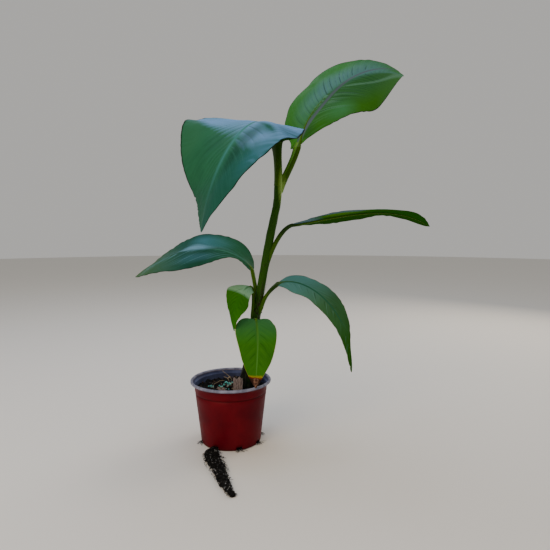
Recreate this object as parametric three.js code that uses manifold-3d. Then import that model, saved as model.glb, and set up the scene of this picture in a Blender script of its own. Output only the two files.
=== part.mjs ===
// A young japanese fiber banana plant in a thin-walled nursery pot.
// Millimetres. +Z is up, +X is to the right and +Y is away from the viewer.
// The origin is at the middle of the pot's flat underside.
import * as THREE from "three";
import Module from "manifold-3d";

const wasm = await Module();
wasm.setup();

// Clearance between pieces that touch
const GAP = 0.3;

// Pot: the outside widens upward, has a groove under its collar and ends in a rolled lip
const POT_HEIGHT = 117.4;
const POT_FOOT_RADIUS = 55.8;
const POT_BODY_RADIUS = 66;
const POT_COLLAR_RADIUS = 67.4;
const POT_GROOVE_HEIGHT = 94;
const POT_GROOVE_DEPTH = 1;
const POT_WALL = 1.6;
const POT_BEVEL = 2.2;
const LIP_RADIUS = 75;
const LIP_TUBE = 2.6;
const LEDGE_DROP = 8;
const POT_SIDES = 48;
const DRAIN_HOLES = 8;
const DRAIN_WIDTH = 11;
const DRAIN_HEIGHT = 7;
const DRAIN_DEPTH = 16;
const FIRST_DRAIN_ANGLE = 20;

// Soil: its level surface carries the stem
const SOIL_TOP = 101;

// Stem: the bundle of sheaths from the soil to the fork, with a swollen foot
const STEM_POINTS = [
  [28, 0, SOIL_TOP + GAP],
  [35.5, 0, 145],
  [48, 0, 236],
  [60, 0, 307],
  [75, 0, 388],
  [87, 0, 450],
  [88.5, 0, 474],
];
const STEM_LOW_RADIUS = 9.2;
const STEM_TOP_RADIUS = 7.4;
const STEM_FLARE = 9.6;
const STEM_FLARE_FADE = 36;
const STEM_SIDES = 18;
const STEM_RINGS = 30;

// Leaves. Angles are in degrees: a heading turns from +X toward +Y, a pitch rises from level.
// Pairs go from the blade's base to its tip, or from its left half to its right half as seen
// from above, looking from base to tip. The trims move each half's margin out at five rows.
// A lift raises one half's margin round a row: the half, the row, its spread in rows, and mm.
const LEAVES = [
  {
    name: "front",
    stalk: { from: 196, shift: [0, -8], sheath: 30, neck: 12, radii: [4, 3, 3.2], rings: 10 },
    base: [48, -22, 233],
    length: 128,
    width: [31.5, 35.5],
    heading: [-78.5, -110.5],
    sweep: 1.31,
    pitch: [-11, -80.5],
    bend: 0.39,
    roll: [11, -16.5],
    fold: [18, 7.5],
    curl: [-16, -5.5],
    lobe: [8, 0],
    peak: [0.7, 0.62],
    blunt: [1.34, 1.26],
    wave: [3.5, -1.5],
    phase: [0.22, 0.02],
    trim: [[2.5, 0, 0, -1.5, -1.5], [-0.5, 2.5, -1, -1.5, -1.5]],
    rows: 14,
    cols: 4,
  },
  {
    name: "low_left",
    stalk: { from: 222, shift: [-7, -5], sheath: 40, neck: 14, radii: [3.4, 2.8, 3], rings: 12 },
    base: [39, -12, 292],
    length: 104,
    width: [15.5, 36.5],
    heading: [-114.5, -154],
    sweep: 1.1,
    pitch: [25.5, -101],
    bend: 0.57,
    roll: [19, -4],
    fold: [-21.5, -4.5],
    curl: [-12.5, -27.5],
    lobe: [3.5, 4.5],
    peak: [0.78, 0.7],
    blunt: [1.02, 0.66],
    wave: [5, 0.5],
    phase: [0.42, 0.44],
    trim: [[-3.5, 0, 1.5, 1, -4], [-2, 2.5, -1.5, -3, 0]],
    rows: 14,
    cols: 4,
  },
  {
    name: "mid_left",
    stalk: { from: 255, shift: [-4, 3], sheath: 20, neck: 25, radii: [4.6, 4, 3.9], rings: 12 },
    base: [41, 3, 321],
    length: 240,
    width: [53.5, 62.5],
    heading: [194.5, 172.5],
    sweep: 1.28,
    pitch: [79, -40.5],
    bend: 0.47,
    roll: [36, -2],
    fold: [-9.5, -11],
    curl: [-17.5, 28.5],
    lobe: [0.5, 3.5],
    peak: [1.48, 1.06],
    blunt: [1.6, 1.16],
    wave: [3, -0.5],
    phase: [0.5, -0.16],
    trim: [[3, -7, -2.5, -1.5, -4], [-3, 2, 0.5, -1, 1]],
    rows: 18,
    cols: 4,
    split: 0.42,
  },
  {
    name: "low_right",
    stalk: { from: 240, shift: [6, -4], sheath: 30, neck: 25, radii: [4.6, 4, 4], rings: 12 },
    base: [87, -10, 296],
    length: 240,
    width: [45, 21],
    heading: [-31.5, -19],
    sweep: 0.94,
    pitch: [36.5, -92],
    bend: 0.59,
    roll: [-33.5, 1],
    fold: [-20, -9],
    curl: [12.5, -1.5],
    lobe: [2.5, 1],
    peak: [1, 1.02],
    blunt: [1.12, 0.92],
    wave: [3.5, -0.5],
    phase: [-0.08, 0.06],
    trim: [[-2, 1, 3.5, 1.5, 3.5], [-1.5, 5.5, 0.5, -1.5, -1]],
    rows: 18,
    cols: 4,
    split: 0.45,
  },
  {
    name: "mid_right",
    stalk: { from: 318, shift: [2, 0], sheath: 24, neck: 25, radii: [5.4, 4.6, 3.8], rings: 14 },
    base: [115, -2, 404],
    length: 268,
    width: [36, 36],
    heading: [-1, 13],
    sweep: 0.88,
    pitch: [11, -33],
    bend: 2.77,
    roll: [10.5, -5],
    fold: [0, 18.5],
    curl: [-20.5, -25],
    lobe: [2, 1],
    peak: [1.08, 1.12],
    blunt: [1.24, 1.12],
    wave: [-2, 3],
    phase: [0.18, 0.4],
    trim: [[-4, -1, 2, 1, 4], [2.5, -2, 1.5, 0.5, -5]],
    rows: 18,
    cols: 4,
  },
  {
    name: "top_right",
    stalk: { from: 455, shift: [2, 6], sheath: 25, neck: 30, radii: [6.9, 6.4, 5.8], rings: 14 },
    base: [123, 12, 545],
    length: 280,
    width: [65.5, 65],
    heading: [9.5, 15.5],
    sweep: 0.66,
    pitch: [78.5, -9],
    bend: 0.96,
    roll: [-26.5, -58.5],
    fold: [8.5, -26.5],
    curl: [-26.5, -23.5],
    lobe: [11, 0],
    peak: [0.86, 1.2],
    blunt: [1.16, 1.68],
    wave: [-1, -1],
    phase: [0, -0.32],
    trim: [[4.5, 0.5, -0.5, -3, -6], [0, -0.5, -5.5, 5.5, -5.5]],
    rows: 20,
    cols: 5,
  },
  {
    name: "top_left",
    stalk: { from: 474, shift: [0, 0], sheath: 25, neck: 15, radii: [7.2, 6.7, 6.6], rings: 12 },
    base: [85, 12, 558],
    length: 340,
    width: [91.5, 124.5],
    heading: [-108.5, -141],
    sweep: 1.49,
    pitch: [56, -81.5],
    bend: 0.52,
    roll: [25, -25.5],
    fold: [5, -7],
    curl: [-18.5, 4],
    lobe: [4.5, 5],
    peak: [0.96, 0.74],
    blunt: [1.24, 1.18],
    wave: [3.5, 6.5],
    phase: [-0.06, 0.04],
    trim: [[-2, -1.5, 0.5, 1.5, 6], [1, 0.5, -3.5, 1.5, -4.5]],
    lift: [[0, 0.33, 0.1, 8], [0, 0.48, 0.06, -15], [1, 0.41, 0.05, 8]],
    rows: 22,
    cols: 5,
    split: 0.38,
  },
];

// Roots that grow out of a drain hole and lie on the ground as one flat bundle
const ROOT_ANGLE = FIRST_DRAIN_ANGLE + 225;
const ROOT_START = 55.3;
const ROOT_PATH = [
  [-28, -60, 3.2],
  [-25, -88, 3.6],
  [-11, -120, 3.6],
  [1, -160, 3.2],
  [15, -195, 2.8],
  [21, -207, 2.4],
];
const ROOT_MOUTH_WIDTH = 10.2;
const ROOT_WIDTH = 25;
const ROOT_TIP_WIDTH = 9;
const ROOT_SPREAD_LENGTH = 9;
const ROOT_FLATTENING = 1.25;
const ROOT_SIDES = 12;
const ROOT_RINGS = 24;

// Bark chips of the potting mix that stand up from the soil
const CHIPS = [
  { name: "bark_chip", at: [16, -27], size: [19, 5, 27], turn: 14, lean: 3 },
  { name: "curved_chip", at: [-9, -34], size: [27, 4, 12], turn: -38, lean: -5 },
];

const rad = THREE.MathUtils.degToRad;
const mix = THREE.MathUtils.lerp;

// Closed surface from a list of rings with the same number of points, with a fan over each end
function loft(rings) {
  const sides = rings[0].length;
  const points = rings.flat();
  const triangles = [];
  for (let ring = 0; ring < rings.length - 1; ring++) {
    for (let side = 0; side < sides; side++) {
      const a = ring * sides + side;
      const b = ring * sides + ((side + 1) % sides);
      triangles.push(a, b, b + sides, a, b + sides, a + sides);
    }
  }
  const last = (rings.length - 1) * sides;
  for (let side = 1; side < sides - 1; side++) {
    triangles.push(0, side + 1, side);
    triangles.push(last, last + side, last + side + 1);
  }
  return meshGeometry(points, triangles);
}

// Closed slab between two grids of points of the same size, with walls along the four edges.
// Each square is cut along its shorter diagonal, which keeps the fans at a blade's lobes flat.
function slab(upper, lower) {
  const rows = upper.length;
  const cols = upper[0].length;
  const count = rows * cols;
  const points = [...upper.flat(), ...lower.flat()];
  const triangles = [];
  const quad = (a, b, c, d) => {
    if (points[a].distanceTo(points[c]) <= points[b].distanceTo(points[d])) {
      triangles.push(a, b, c, a, c, d);
    } else {
      triangles.push(a, b, d, b, c, d);
    }
  };
  for (let row = 0; row < rows - 1; row++) {
    for (let col = 0; col < cols - 1; col++) {
      const a = row * cols + col;
      quad(a, a + 1, a + 1 + cols, a + cols);
      quad(count + a + cols, count + a + cols + 1, count + a + 1, count + a);
    }
    const left = row * cols;
    const right = left + cols - 1;
    quad(left, left + cols, count + left + cols, count + left);
    quad(right + cols, right, count + right, count + right + cols);
  }
  const end = (rows - 1) * cols;
  for (let col = 0; col < cols - 1; col++) {
    quad(col + 1, col, count + col, count + col + 1);
    quad(end + col, end + col + 1, count + end + col + 1, count + end + col);
  }
  return meshGeometry(points, triangles);
}

function meshGeometry(points, triangles) {
  const geometry = new THREE.BufferGeometry().setFromPoints(points);
  geometry.setIndex(triangles);
  return geometry;
}

function toSolid(geometry) {
  return new wasm.Manifold(new wasm.Mesh({
    numProp: 3,
    vertProperties: new Float32Array(geometry.attributes.position.array),
    triVerts: new Uint32Array(geometry.index.array),
  }));
}

function toGeometry(solid) {
  const mesh = solid.getMesh();
  const geometry = new THREE.BufferGeometry();
  geometry.setAttribute("position", new THREE.BufferAttribute(mesh.vertProperties, 3));
  geometry.setIndex(new THREE.BufferAttribute(mesh.triVerts, 1));
  return geometry;
}

// The largest body of a solid, so that a cut leaves no scraps behind
function largestBody(solid) {
  const bodies = solid.decompose();
  bodies.sort((a, b) => b.volume() - a.volume());
  return bodies[0];
}

// Ellipse of points round a centre, across two unit directions, seen against their cross product
function ellipse(centre, across, upward, halfWidth, halfHeight, sides) {
  return Array.from({ length: sides }, (_, side) => {
    const angle = (2 * Math.PI * side) / sides;
    return centre.clone()
      .addScaledVector(across, halfWidth * Math.cos(angle))
      .addScaledVector(upward, halfHeight * Math.sin(angle));
  });
}

// Round limb along a curve, its radius given as a function of the share of the length
function limb(curve, radiusAt, sides, rings) {
  const level = new THREE.Vector3(0, 1, 0);
  const sections = [];
  for (let ring = 0; ring <= rings; ring++) {
    const share = ring / rings;
    const along = curve.getTangentAt(share);
    const across = level.clone().cross(along).normalize();
    const upward = along.clone().cross(across);
    const radius = radiusAt(share);
    sections.push(ellipse(curve.getPointAt(share), across, upward, radius, radius, sides));
  }
  return loft(sections);
}

function vectors(list) {
  return list.map((point) => new THREE.Vector3(...point));
}

// Pot

function potGeometry() {
  const lipCentre = LIP_RADIUS - LIP_TUBE;
  const lipHeight = POT_HEIGHT - LIP_TUBE;
  const ledge = POT_HEIGHT - LEDGE_DROP;
  const inner = (radius) => radius - POT_WALL;
  const profile = [
    [0, 0],
    [POT_FOOT_RADIUS - POT_BEVEL, 0],
    [POT_FOOT_RADIUS, POT_BEVEL],
    [POT_BODY_RADIUS, POT_GROOVE_HEIGHT - 2],
    [POT_BODY_RADIUS - POT_GROOVE_DEPTH, POT_GROOVE_HEIGHT - 1],
    [POT_BODY_RADIUS - POT_GROOVE_DEPTH, POT_GROOVE_HEIGHT + 1],
    [POT_COLLAR_RADIUS - 0.6, POT_GROOVE_HEIGHT + 2.4],
    [POT_COLLAR_RADIUS, ledge - 2],
    [lipCentre - LIP_TUBE * 0.7, lipHeight - LIP_TUBE * 1.3],
  ];
  for (let turn = -90; turn <= 180; turn += 30) {
    profile.push([lipCentre + LIP_TUBE * Math.cos(rad(turn)), lipHeight + LIP_TUBE * Math.sin(rad(turn))]);
  }
  profile.push([lipCentre - LIP_TUBE - 0.3, ledge + 0.6]);
  profile.push([inner(POT_COLLAR_RADIUS), ledge]);
  profile.push([inner(POT_COLLAR_RADIUS) - 0.4, POT_GROOVE_HEIGHT + 2]);
  profile.push([inner(POT_BODY_RADIUS) - 0.8, POT_GROOVE_HEIGHT - 6]);
  profile.push([inner(POT_FOOT_RADIUS), POT_BEVEL + 1]);
  profile.push([0, POT_BEVEL + 1]);
  return revolve(profile, POT_SIDES);
}

// Solid of revolution of an outline that starts and ends on the axis
function revolve(profile, sides) {
  const points = [];
  const rows = profile.map(([radius, height]) => {
    const first = points.length;
    const count = radius === 0 ? 1 : sides;
    for (let side = 0; side < count; side++) {
      const angle = (2 * Math.PI * side) / sides;
      points.push(new THREE.Vector3(radius * Math.cos(angle), radius * Math.sin(angle), height));
    }
    return { first, count };
  });
  const triangles = [];
  for (let row = 0; row < rows.length - 1; row++) {
    const low = rows[row];
    const high = rows[row + 1];
    for (let side = 0; side < sides; side++) {
      const next = (side + 1) % sides;
      const a = low.first + (side % low.count);
      const b = low.first + (next % low.count);
      const c = high.first + (next % high.count);
      const d = high.first + (side % high.count);
      if (a !== b) triangles.push(a, b, c);
      if (c !== d) triangles.push(a, c, d);
    }
  }
  return meshGeometry(points, triangles);
}

function pot() {
  let solid = toSolid(potGeometry());
  for (let hole = 0; hole < DRAIN_HOLES; hole++) {
    const cutter = wasm.Manifold.cube([DRAIN_DEPTH, DRAIN_WIDTH, 2 * DRAIN_HEIGHT], true)
      .translate([POT_FOOT_RADIUS, 0, 0])
      .rotate([0, 0, FIRST_DRAIN_ANGLE + (hole * 360) / DRAIN_HOLES]);
    solid = solid.subtract(cutter);
  }
  return toGeometry(solid);
}

// Radius of the pot's inside at a height, less the clearance
function soilRadius(height) {
  const share = (height - POT_BEVEL - 1) / (POT_GROOVE_HEIGHT - 6 - POT_BEVEL - 1);
  const wallRadius = mix(POT_FOOT_RADIUS, POT_BODY_RADIUS - 0.8, Math.min(share, 1));
  return wallRadius - POT_WALL - GAP;
}

function soil() {
  const bottom = POT_BEVEL + 1 + GAP;
  const shoulder = POT_GROOVE_HEIGHT - 6;
  const profile = [
    [0, bottom],
    [soilRadius(bottom), bottom],
    [soilRadius(shoulder), shoulder],
    [soilRadius(shoulder), SOIL_TOP],
    [0, SOIL_TOP],
  ];
  return revolve(profile, POT_SIDES);
}

// Stem

const stemCurve = new THREE.CatmullRomCurve3(vectors(STEM_POINTS), false, "centripetal");

function stemRadius(share) {
  const height = (STEM_POINTS.at(-1)[2] - SOIL_TOP) * share;
  return mix(STEM_LOW_RADIUS, STEM_TOP_RADIUS, share) + STEM_FLARE * Math.exp(-height / STEM_FLARE_FADE);
}

function stemGeometry(swell) {
  const sections = [];
  for (let ring = 0; ring <= STEM_RINGS; ring++) {
    const share = (ring / STEM_RINGS) ** 1.3;
    const radius = stemRadius(share) + swell;
    const across = new THREE.Vector3(1, 0, 0);
    const upward = new THREE.Vector3(0, 1, 0);
    const centre = stemCurve.getPointAt(share);
    centre.z += swell * (2 * share - 1);
    sections.push(ellipse(centre, across, upward, radius, radius, STEM_SIDES));
  }
  return loft(sections);
}

// Leaves

function stemAt(height) {
  let share = 0;
  while (share < 1 && stemCurve.getPointAt(share).z < height) {
    share += 0.002;
  }
  share = Math.min(share, 1);
  return { point: stemCurve.getPointAt(share), along: stemCurve.getTangentAt(share) };
}

// Direction along the midrib, with the directions to the right and out of the upper face
function leafFrame(leaf, share) {
  const heading = rad(mix(...leaf.heading, share ** leaf.sweep));
  const pitch = rad(mix(...leaf.pitch, share ** leaf.bend));
  const roll = rad(mix(...leaf.roll, share));
  const along = new THREE.Vector3(
    Math.cos(pitch) * Math.cos(heading),
    Math.cos(pitch) * Math.sin(heading),
    Math.sin(pitch),
  );
  const side = new THREE.Vector3(Math.sin(heading), -Math.cos(heading), 0);
  const out = side.clone().cross(along);
  return {
    along,
    right: side.clone().multiplyScalar(Math.cos(roll)).addScaledVector(out, Math.sin(roll)),
    out: out.clone().multiplyScalar(Math.cos(roll)).addScaledVector(side, -Math.sin(roll)),
  };
}

// The midrib is added up step by step from its directions
const MIDRIB_STEPS = 120;

function midribPoints(leaf) {
  const points = [new THREE.Vector3(...leaf.base)];
  for (let step = 0; step < MIDRIB_STEPS; step++) {
    const { along } = leafFrame(leaf, (step + 0.5) / MIDRIB_STEPS);
    points.push(points.at(-1).clone().addScaledVector(along, leaf.length / MIDRIB_STEPS));
  }
  return points;
}

function midribAt(leaf, points, share) {
  const inside = Math.min(Math.max(share, 0), 1);
  const step = Math.min(Math.floor(inside * MIDRIB_STEPS), MIDRIB_STEPS - 1);
  const point = points[step].clone().lerp(points[step + 1], inside * MIDRIB_STEPS - step);
  const frame = leafFrame(leaf, inside);
  point.addScaledVector(frame.along, (share - inside) * leaf.length);
  return { point, frame };
}

// 1 at the middle of a bump, fading to 0 on both sides of it
function bump(row, middle, spread) {
  return Math.exp(-(((row - middle) / spread) ** 2));
}

// Width of a half of the blade at a row: a swelling that closes at both ends, with its trims
function halfWidth(leaf, half, row) {
  const hump = Math.abs(Math.sin(Math.PI * row ** leaf.peak[half])) ** leaf.blunt[half];
  let width = mix(BASE_HALF, TIP_HALF, row) + leaf.width[half] * hump;
  leaf.trim[half].forEach((depth, i) => {
    width += depth * bump(row, TRIM_ROWS[i], TRIM_SPREAD);
  });
  return Math.max(width, TIP_HALF);
}

// Point of the blade: veins run from the midrib to the margin.
// row 0..1 is the vein, reach -1..1 runs from the left margin over the midrib to the right one.
const VEIN_SPREAD = 1.15;
const BASE_HALF = 3;
const TIP_HALF = 0.8;
const LOBE_SHARE = 0.45;
const WAVES = 2.5;
const THINNEST_BLADE = 1.5;
const TRIM_ROWS = [0.1, 0.3, 0.5, 0.7, 0.9];
const TRIM_SPREAD = 0.09;
const END_SHARE = 0.12;

function bladePoint(leaf, points, row, reach) {
  const half = reach < 0 ? 0 : 1;
  const part = Math.abs(reach);
  const width = halfWidth(leaf, half, row) * part;
  const lobe = (leaf.lobe[half] / leaf.length) * Math.sin(Math.PI * Math.min(row / LOBE_SHARE, 1));
  const rib = row ** VEIN_SPREAD;
  const margin = 0.5 - 0.5 * Math.cos(Math.PI * row) - lobe;
  const start = GAP / leaf.length;
  const { point, frame } = midribAt(leaf, points, mix(start, 1, mix(rib, margin, part)));
  const tilt = rad(leaf.fold[half] + (leaf.curl[half] * part) / 2);
  const wave = leaf.wave[half] * Math.sin(2 * Math.PI * (WAVES * row + leaf.phase[half]));
  let rise = width * Math.sin(tilt) + wave * part * part * Math.sin(Math.PI * row);
  for (const [side, middle, spread, height] of leaf.lift ?? []) {
    if (side === half) rise += height * part * part * bump(row, middle, spread);
  }
  point
    .addScaledVector(frame.right, Math.sign(reach) * width * Math.cos(tilt))
    .addScaledVector(frame.out, rise);
  return { point, along: frame.along };
}

// Stretch of a blade between two shares of its rows, as one closed solid.
// Its thickness stands square to the midrib's direction and to the way from half to half,
// which is taken over the whole width at the narrow ends.
function blade(leaf, from, to) {
  const points = midribPoints(leaf);
  const rows = Math.max(3, Math.round(leaf.rows * (to - from)));
  const cols = leaf.cols;
  const thick = Math.max(THINNEST_BLADE, leaf.length / 95);
  const upper = [];
  const lower = [];
  for (let i = 0; i <= rows; i++) {
    const row = mix(from, to, i / rows);
    const nearEnd = Math.max(0, 1 - Math.min(row, 1 - row) / END_SHARE);
    const step = 0.02 + 2 * nearEnd;
    const top = [];
    const bottom = [];
    for (let j = -cols; j <= cols; j++) {
      const reach = j / cols;
      const { point, along } = bladePoint(leaf, points, row, reach);
      const across = bladePoint(leaf, points, row, Math.min(reach + step, 1)).point
        .sub(bladePoint(leaf, points, row, Math.max(reach - step, -1)).point);
      const normal = across.cross(along).setLength(thick / 2);
      top.push(point.clone().add(normal));
      bottom.push(point.clone().sub(normal));
    }
    upper.push(top);
    lower.push(bottom);
  }
  return slab(upper, lower);
}

// Stalk from inside the stem, up along it as a sheath and out to the blade's base
function stalkCurve(leaf) {
  const foot = stemAt(leaf.stalk.from);
  const base = new THREE.Vector3(...leaf.base);
  const { along } = leafFrame(leaf, 0);
  const start = foot.point.clone().add(new THREE.Vector3(...leaf.stalk.shift, 0));
  return new THREE.CubicBezierCurve3(
    start,
    start.clone().addScaledVector(foot.along, leaf.stalk.sheath),
    base.clone().addScaledVector(along, -leaf.stalk.neck),
    base,
  );
}

function stalkGeometry(leaf, swell) {
  const [foot, waist, top] = leaf.stalk.radii;
  const radiusAt = (share) => {
    const low = mix(foot, waist, Math.min(share / 0.6, 1));
    const high = mix(waist, top, Math.max((share - 0.6) / 0.4, 0) ** 2);
    return (share < 0.6 ? low : high) + swell;
  };
  return limb(stalkCurve(leaf), radiusAt, 12, leaf.stalk.rings);
}

// Width of the root bundle: it spreads from the drain hole and tapers to its tip
function rootWidth(share, length) {
  const spread = 1 - Math.exp(-((share * length) ** 2) / ROOT_SPREAD_LENGTH ** 2);
  return mix(ROOT_MOUTH_WIDTH, mix(ROOT_WIDTH, ROOT_TIP_WIDTH, share ** 1.6), spread);
}

// The bundle's underside is flat on the ground
function rootTail() {
  const angle = rad(ROOT_ANGLE);
  const mouth = [ROOT_START * Math.cos(angle), ROOT_START * Math.sin(angle), 2.8];
  const curve = new THREE.CatmullRomCurve3(vectors([mouth, ...ROOT_PATH]), false, "centripetal");
  const upward = new THREE.Vector3(0, 0, 1);
  const sections = [];
  for (let ring = 0; ring <= ROOT_RINGS; ring++) {
    const share = (ring / ROOT_RINGS) ** 1.4;
    const along = curve.getTangentAt(share).setZ(0).normalize();
    const across = upward.clone().cross(along);
    const centre = curve.getPointAt(share);
    const half = rootWidth(share, curve.getLength()) / 2;
    const section = ellipse(centre, across, upward, half, ROOT_FLATTENING * centre.z, ROOT_SIDES);
    section.forEach((point) => {
      point.z = Math.max(point.z, 0);
    });
    sections.push(section);
  }
  return loft(sections);
}

// Bark chip standing on the soil, thinner and leaning at its top
function chip({ at, size, turn, lean }) {
  const [width, thick, height] = size;
  const levels = [[1, 0], [1.06, 0.45], [0.78, 1]];
  const sections = levels.map(([spread, share]) => {
    const centre = new THREE.Vector3(0, lean * share, height * share);
    const across = new THREE.Vector3(1, 0, 0);
    const upward = new THREE.Vector3(0, 1, 0);
    return ellipse(centre, across, upward, (width / 2) * spread, (thick / 2) * (1.3 - 0.4 * share), 8);
  });
  const geometry = loft(sections);
  geometry.rotateZ(rad(turn));
  geometry.translate(at[0], at[1], SOIL_TOP + GAP);
  return geometry;
}

// Colour, roughness and metalness of each kind of piece
const FINISHES = {
  pot: { color: 0x6a0f14, roughness: 0.42, metalness: 0 },
  soil: { color: 0x2b2119, roughness: 0.95, metalness: 0 },
  bark: { color: 0x6b5a4c, roughness: 0.9, metalness: 0 },
  roots: { color: 0x4a3524, roughness: 0.95, metalness: 0 },
  stem: { color: 0x2f5a14, roughness: 0.5, metalness: 0 },
  stalk: { color: 0x356318, roughness: 0.5, metalness: 0 },
  blade: { color: 0x2c6a3c, roughness: 0.45, metalness: 0 },
};

const plant = new THREE.Group();

function addPiece(name, geometry, finish) {
  const mesh = new THREE.Mesh(geometry, new THREE.MeshStandardMaterial(FINISHES[finish]));
  mesh.name = name;
  plant.add(mesh);
}

addPiece("pot", pot(), "pot");
addPiece("soil", soil(), "soil");
CHIPS.forEach((item) => addPiece(item.name, chip(item), "bark"));
addPiece("trailing_roots", rootTail(), "roots");
addPiece("stem", stemGeometry(0), "stem");

// Each stalk is cut clear of the stem and of the stalks before it
let taken = toSolid(stemGeometry(GAP));
for (const leaf of [...LEAVES].reverse()) {
  const stalk = largestBody(toSolid(stalkGeometry(leaf, 0)).subtract(taken));
  taken = taken.add(toSolid(stalkGeometry(leaf, GAP)));
  addPiece(`stalk_${leaf.name}`, toGeometry(stalk), "stalk");
}

// A blade that arches over a wide gap is two pieces that meet at the bend
for (const leaf of LEAVES) {
  if (leaf.split) {
    const clear = GAP / leaf.length;
    addPiece(`blade_${leaf.name}_inner`, blade(leaf, 0, leaf.split - clear), "blade");
    addPiece(`blade_${leaf.name}_outer`, blade(leaf, leaf.split + clear, 1), "blade");
  } else {
    addPiece(`blade_${leaf.name}`, blade(leaf, 0, 1), "blade");
  }
}

export default plant;
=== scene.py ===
"""Looks of a young japanese fiber banana plant in a thin-walled nursery pot.

Shapes are worked out in millimetres on numpy grids and turn to metres when a mesh is made.
+Z is up, +X is to the right and +Y is away from the viewer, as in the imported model. Named
angles are in degrees.
"""
import math

import bmesh
import bpy
import numpy as np
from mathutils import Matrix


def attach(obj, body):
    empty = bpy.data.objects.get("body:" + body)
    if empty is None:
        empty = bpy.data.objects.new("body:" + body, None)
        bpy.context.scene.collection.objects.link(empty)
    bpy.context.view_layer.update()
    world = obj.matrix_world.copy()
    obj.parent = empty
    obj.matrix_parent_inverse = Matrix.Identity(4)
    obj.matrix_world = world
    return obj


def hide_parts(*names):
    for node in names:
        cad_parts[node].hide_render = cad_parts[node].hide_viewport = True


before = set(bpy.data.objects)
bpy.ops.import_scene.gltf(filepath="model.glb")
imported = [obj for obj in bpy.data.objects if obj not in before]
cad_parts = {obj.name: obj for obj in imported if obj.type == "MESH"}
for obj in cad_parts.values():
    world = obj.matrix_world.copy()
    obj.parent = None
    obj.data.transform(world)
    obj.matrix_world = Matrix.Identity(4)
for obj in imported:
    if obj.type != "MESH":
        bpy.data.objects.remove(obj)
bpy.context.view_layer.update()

MILLIMETRE = 0.001
SEAT_GAP = 0.3  # room left between a piece and the one that it rests in or grows on

# Pot
POT_HEIGHT = 117.4
POT_FOOT_RADIUS = 55.8
POT_BODY_RADIUS = 66
POT_COLLAR_RADIUS = 67.4
POT_GROOVE_HEIGHT = 94
POT_WALL = 1.6
POT_FLOOR = 3.2
LIP_RADIUS = 75
LIP_TUBE = 2.6
LEDGE_DROP = 8
DRAIN_HOLES = 8
DRAIN_HALF_TURN = 5.7
DRAIN_INNER_RADIUS = 47.8
DRAIN_HEIGHT = 7
FIRST_DRAIN_ANGLE = 20

# Soil
SOIL_TOP = 101
SOIL_RADIUS = 63.3
CRUMBS = 1500
BARK_FLAKES = 90
FEED_BEADS = 64
STRAWS = [  # foot and head of each dry straw that leans on the soil
    [(-1, 30, 103.5), (-21, 50, 117)],
    [(-6, 26, 103), (-17, 38, 109)],
    [(-34, 8, 102.5), (-14, 22, 106)],
    [(-26, -16, 102.5), (-6, -24, 105)],
]
FEED_GROUPS = [  # middles of the loose groups of beads
    [-6, 10], [-11, 20], [-2, -2], [-16, -2], [-32, -13], [-6, -13], [-38, 4], [-1, 17], [8, 26],
]
CHIPS = {  # the node that a chip of bark replaces, and its measures
    "standing_bark_chip": ("bark_chip", dict(at=(16, -27), width=19, thick=4.4, height=27, turn=14,
                                             lean=3, jagged=0.12, seed=3)),
    "lying_bark_chip": ("curved_chip", dict(at=(-9, -34), width=27, thick=3.6, height=12, turn=-38,
                                            lean=-5, jagged=0.35, seed=4)),
}
LITTER_RADIUS = 61
STEM_ROOM = 20  # no crumb or flake lies this near the stem's middle

# Stem
STEM_POINTS = [
    [28, 0, 101.3],
    [35.5, 0, 145],
    [48, 0, 236],
    [60, 0, 307],
    [75, 0, 388],
    [87, 0, 450],
    [88.5, 0, 474],
]
STEM_LOW_RADIUS = 9.2
STEM_TOP_RADIUS = 7.4
STEM_FLARE = 9.6
STEM_FLARE_FADE = 36
STEM_FOOT = STEM_POINTS[0][0]
STEM_TOP = STEM_POINTS[-1][2]
SHEATH_THICKNESS = 0.55
DRY_STRIPS = 26
FORK_HIGHLIGHT_PLACE = (0.0965, -0.008, 0.472)  # middle of the painted highlight where the top two stalks part, in metres
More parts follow.
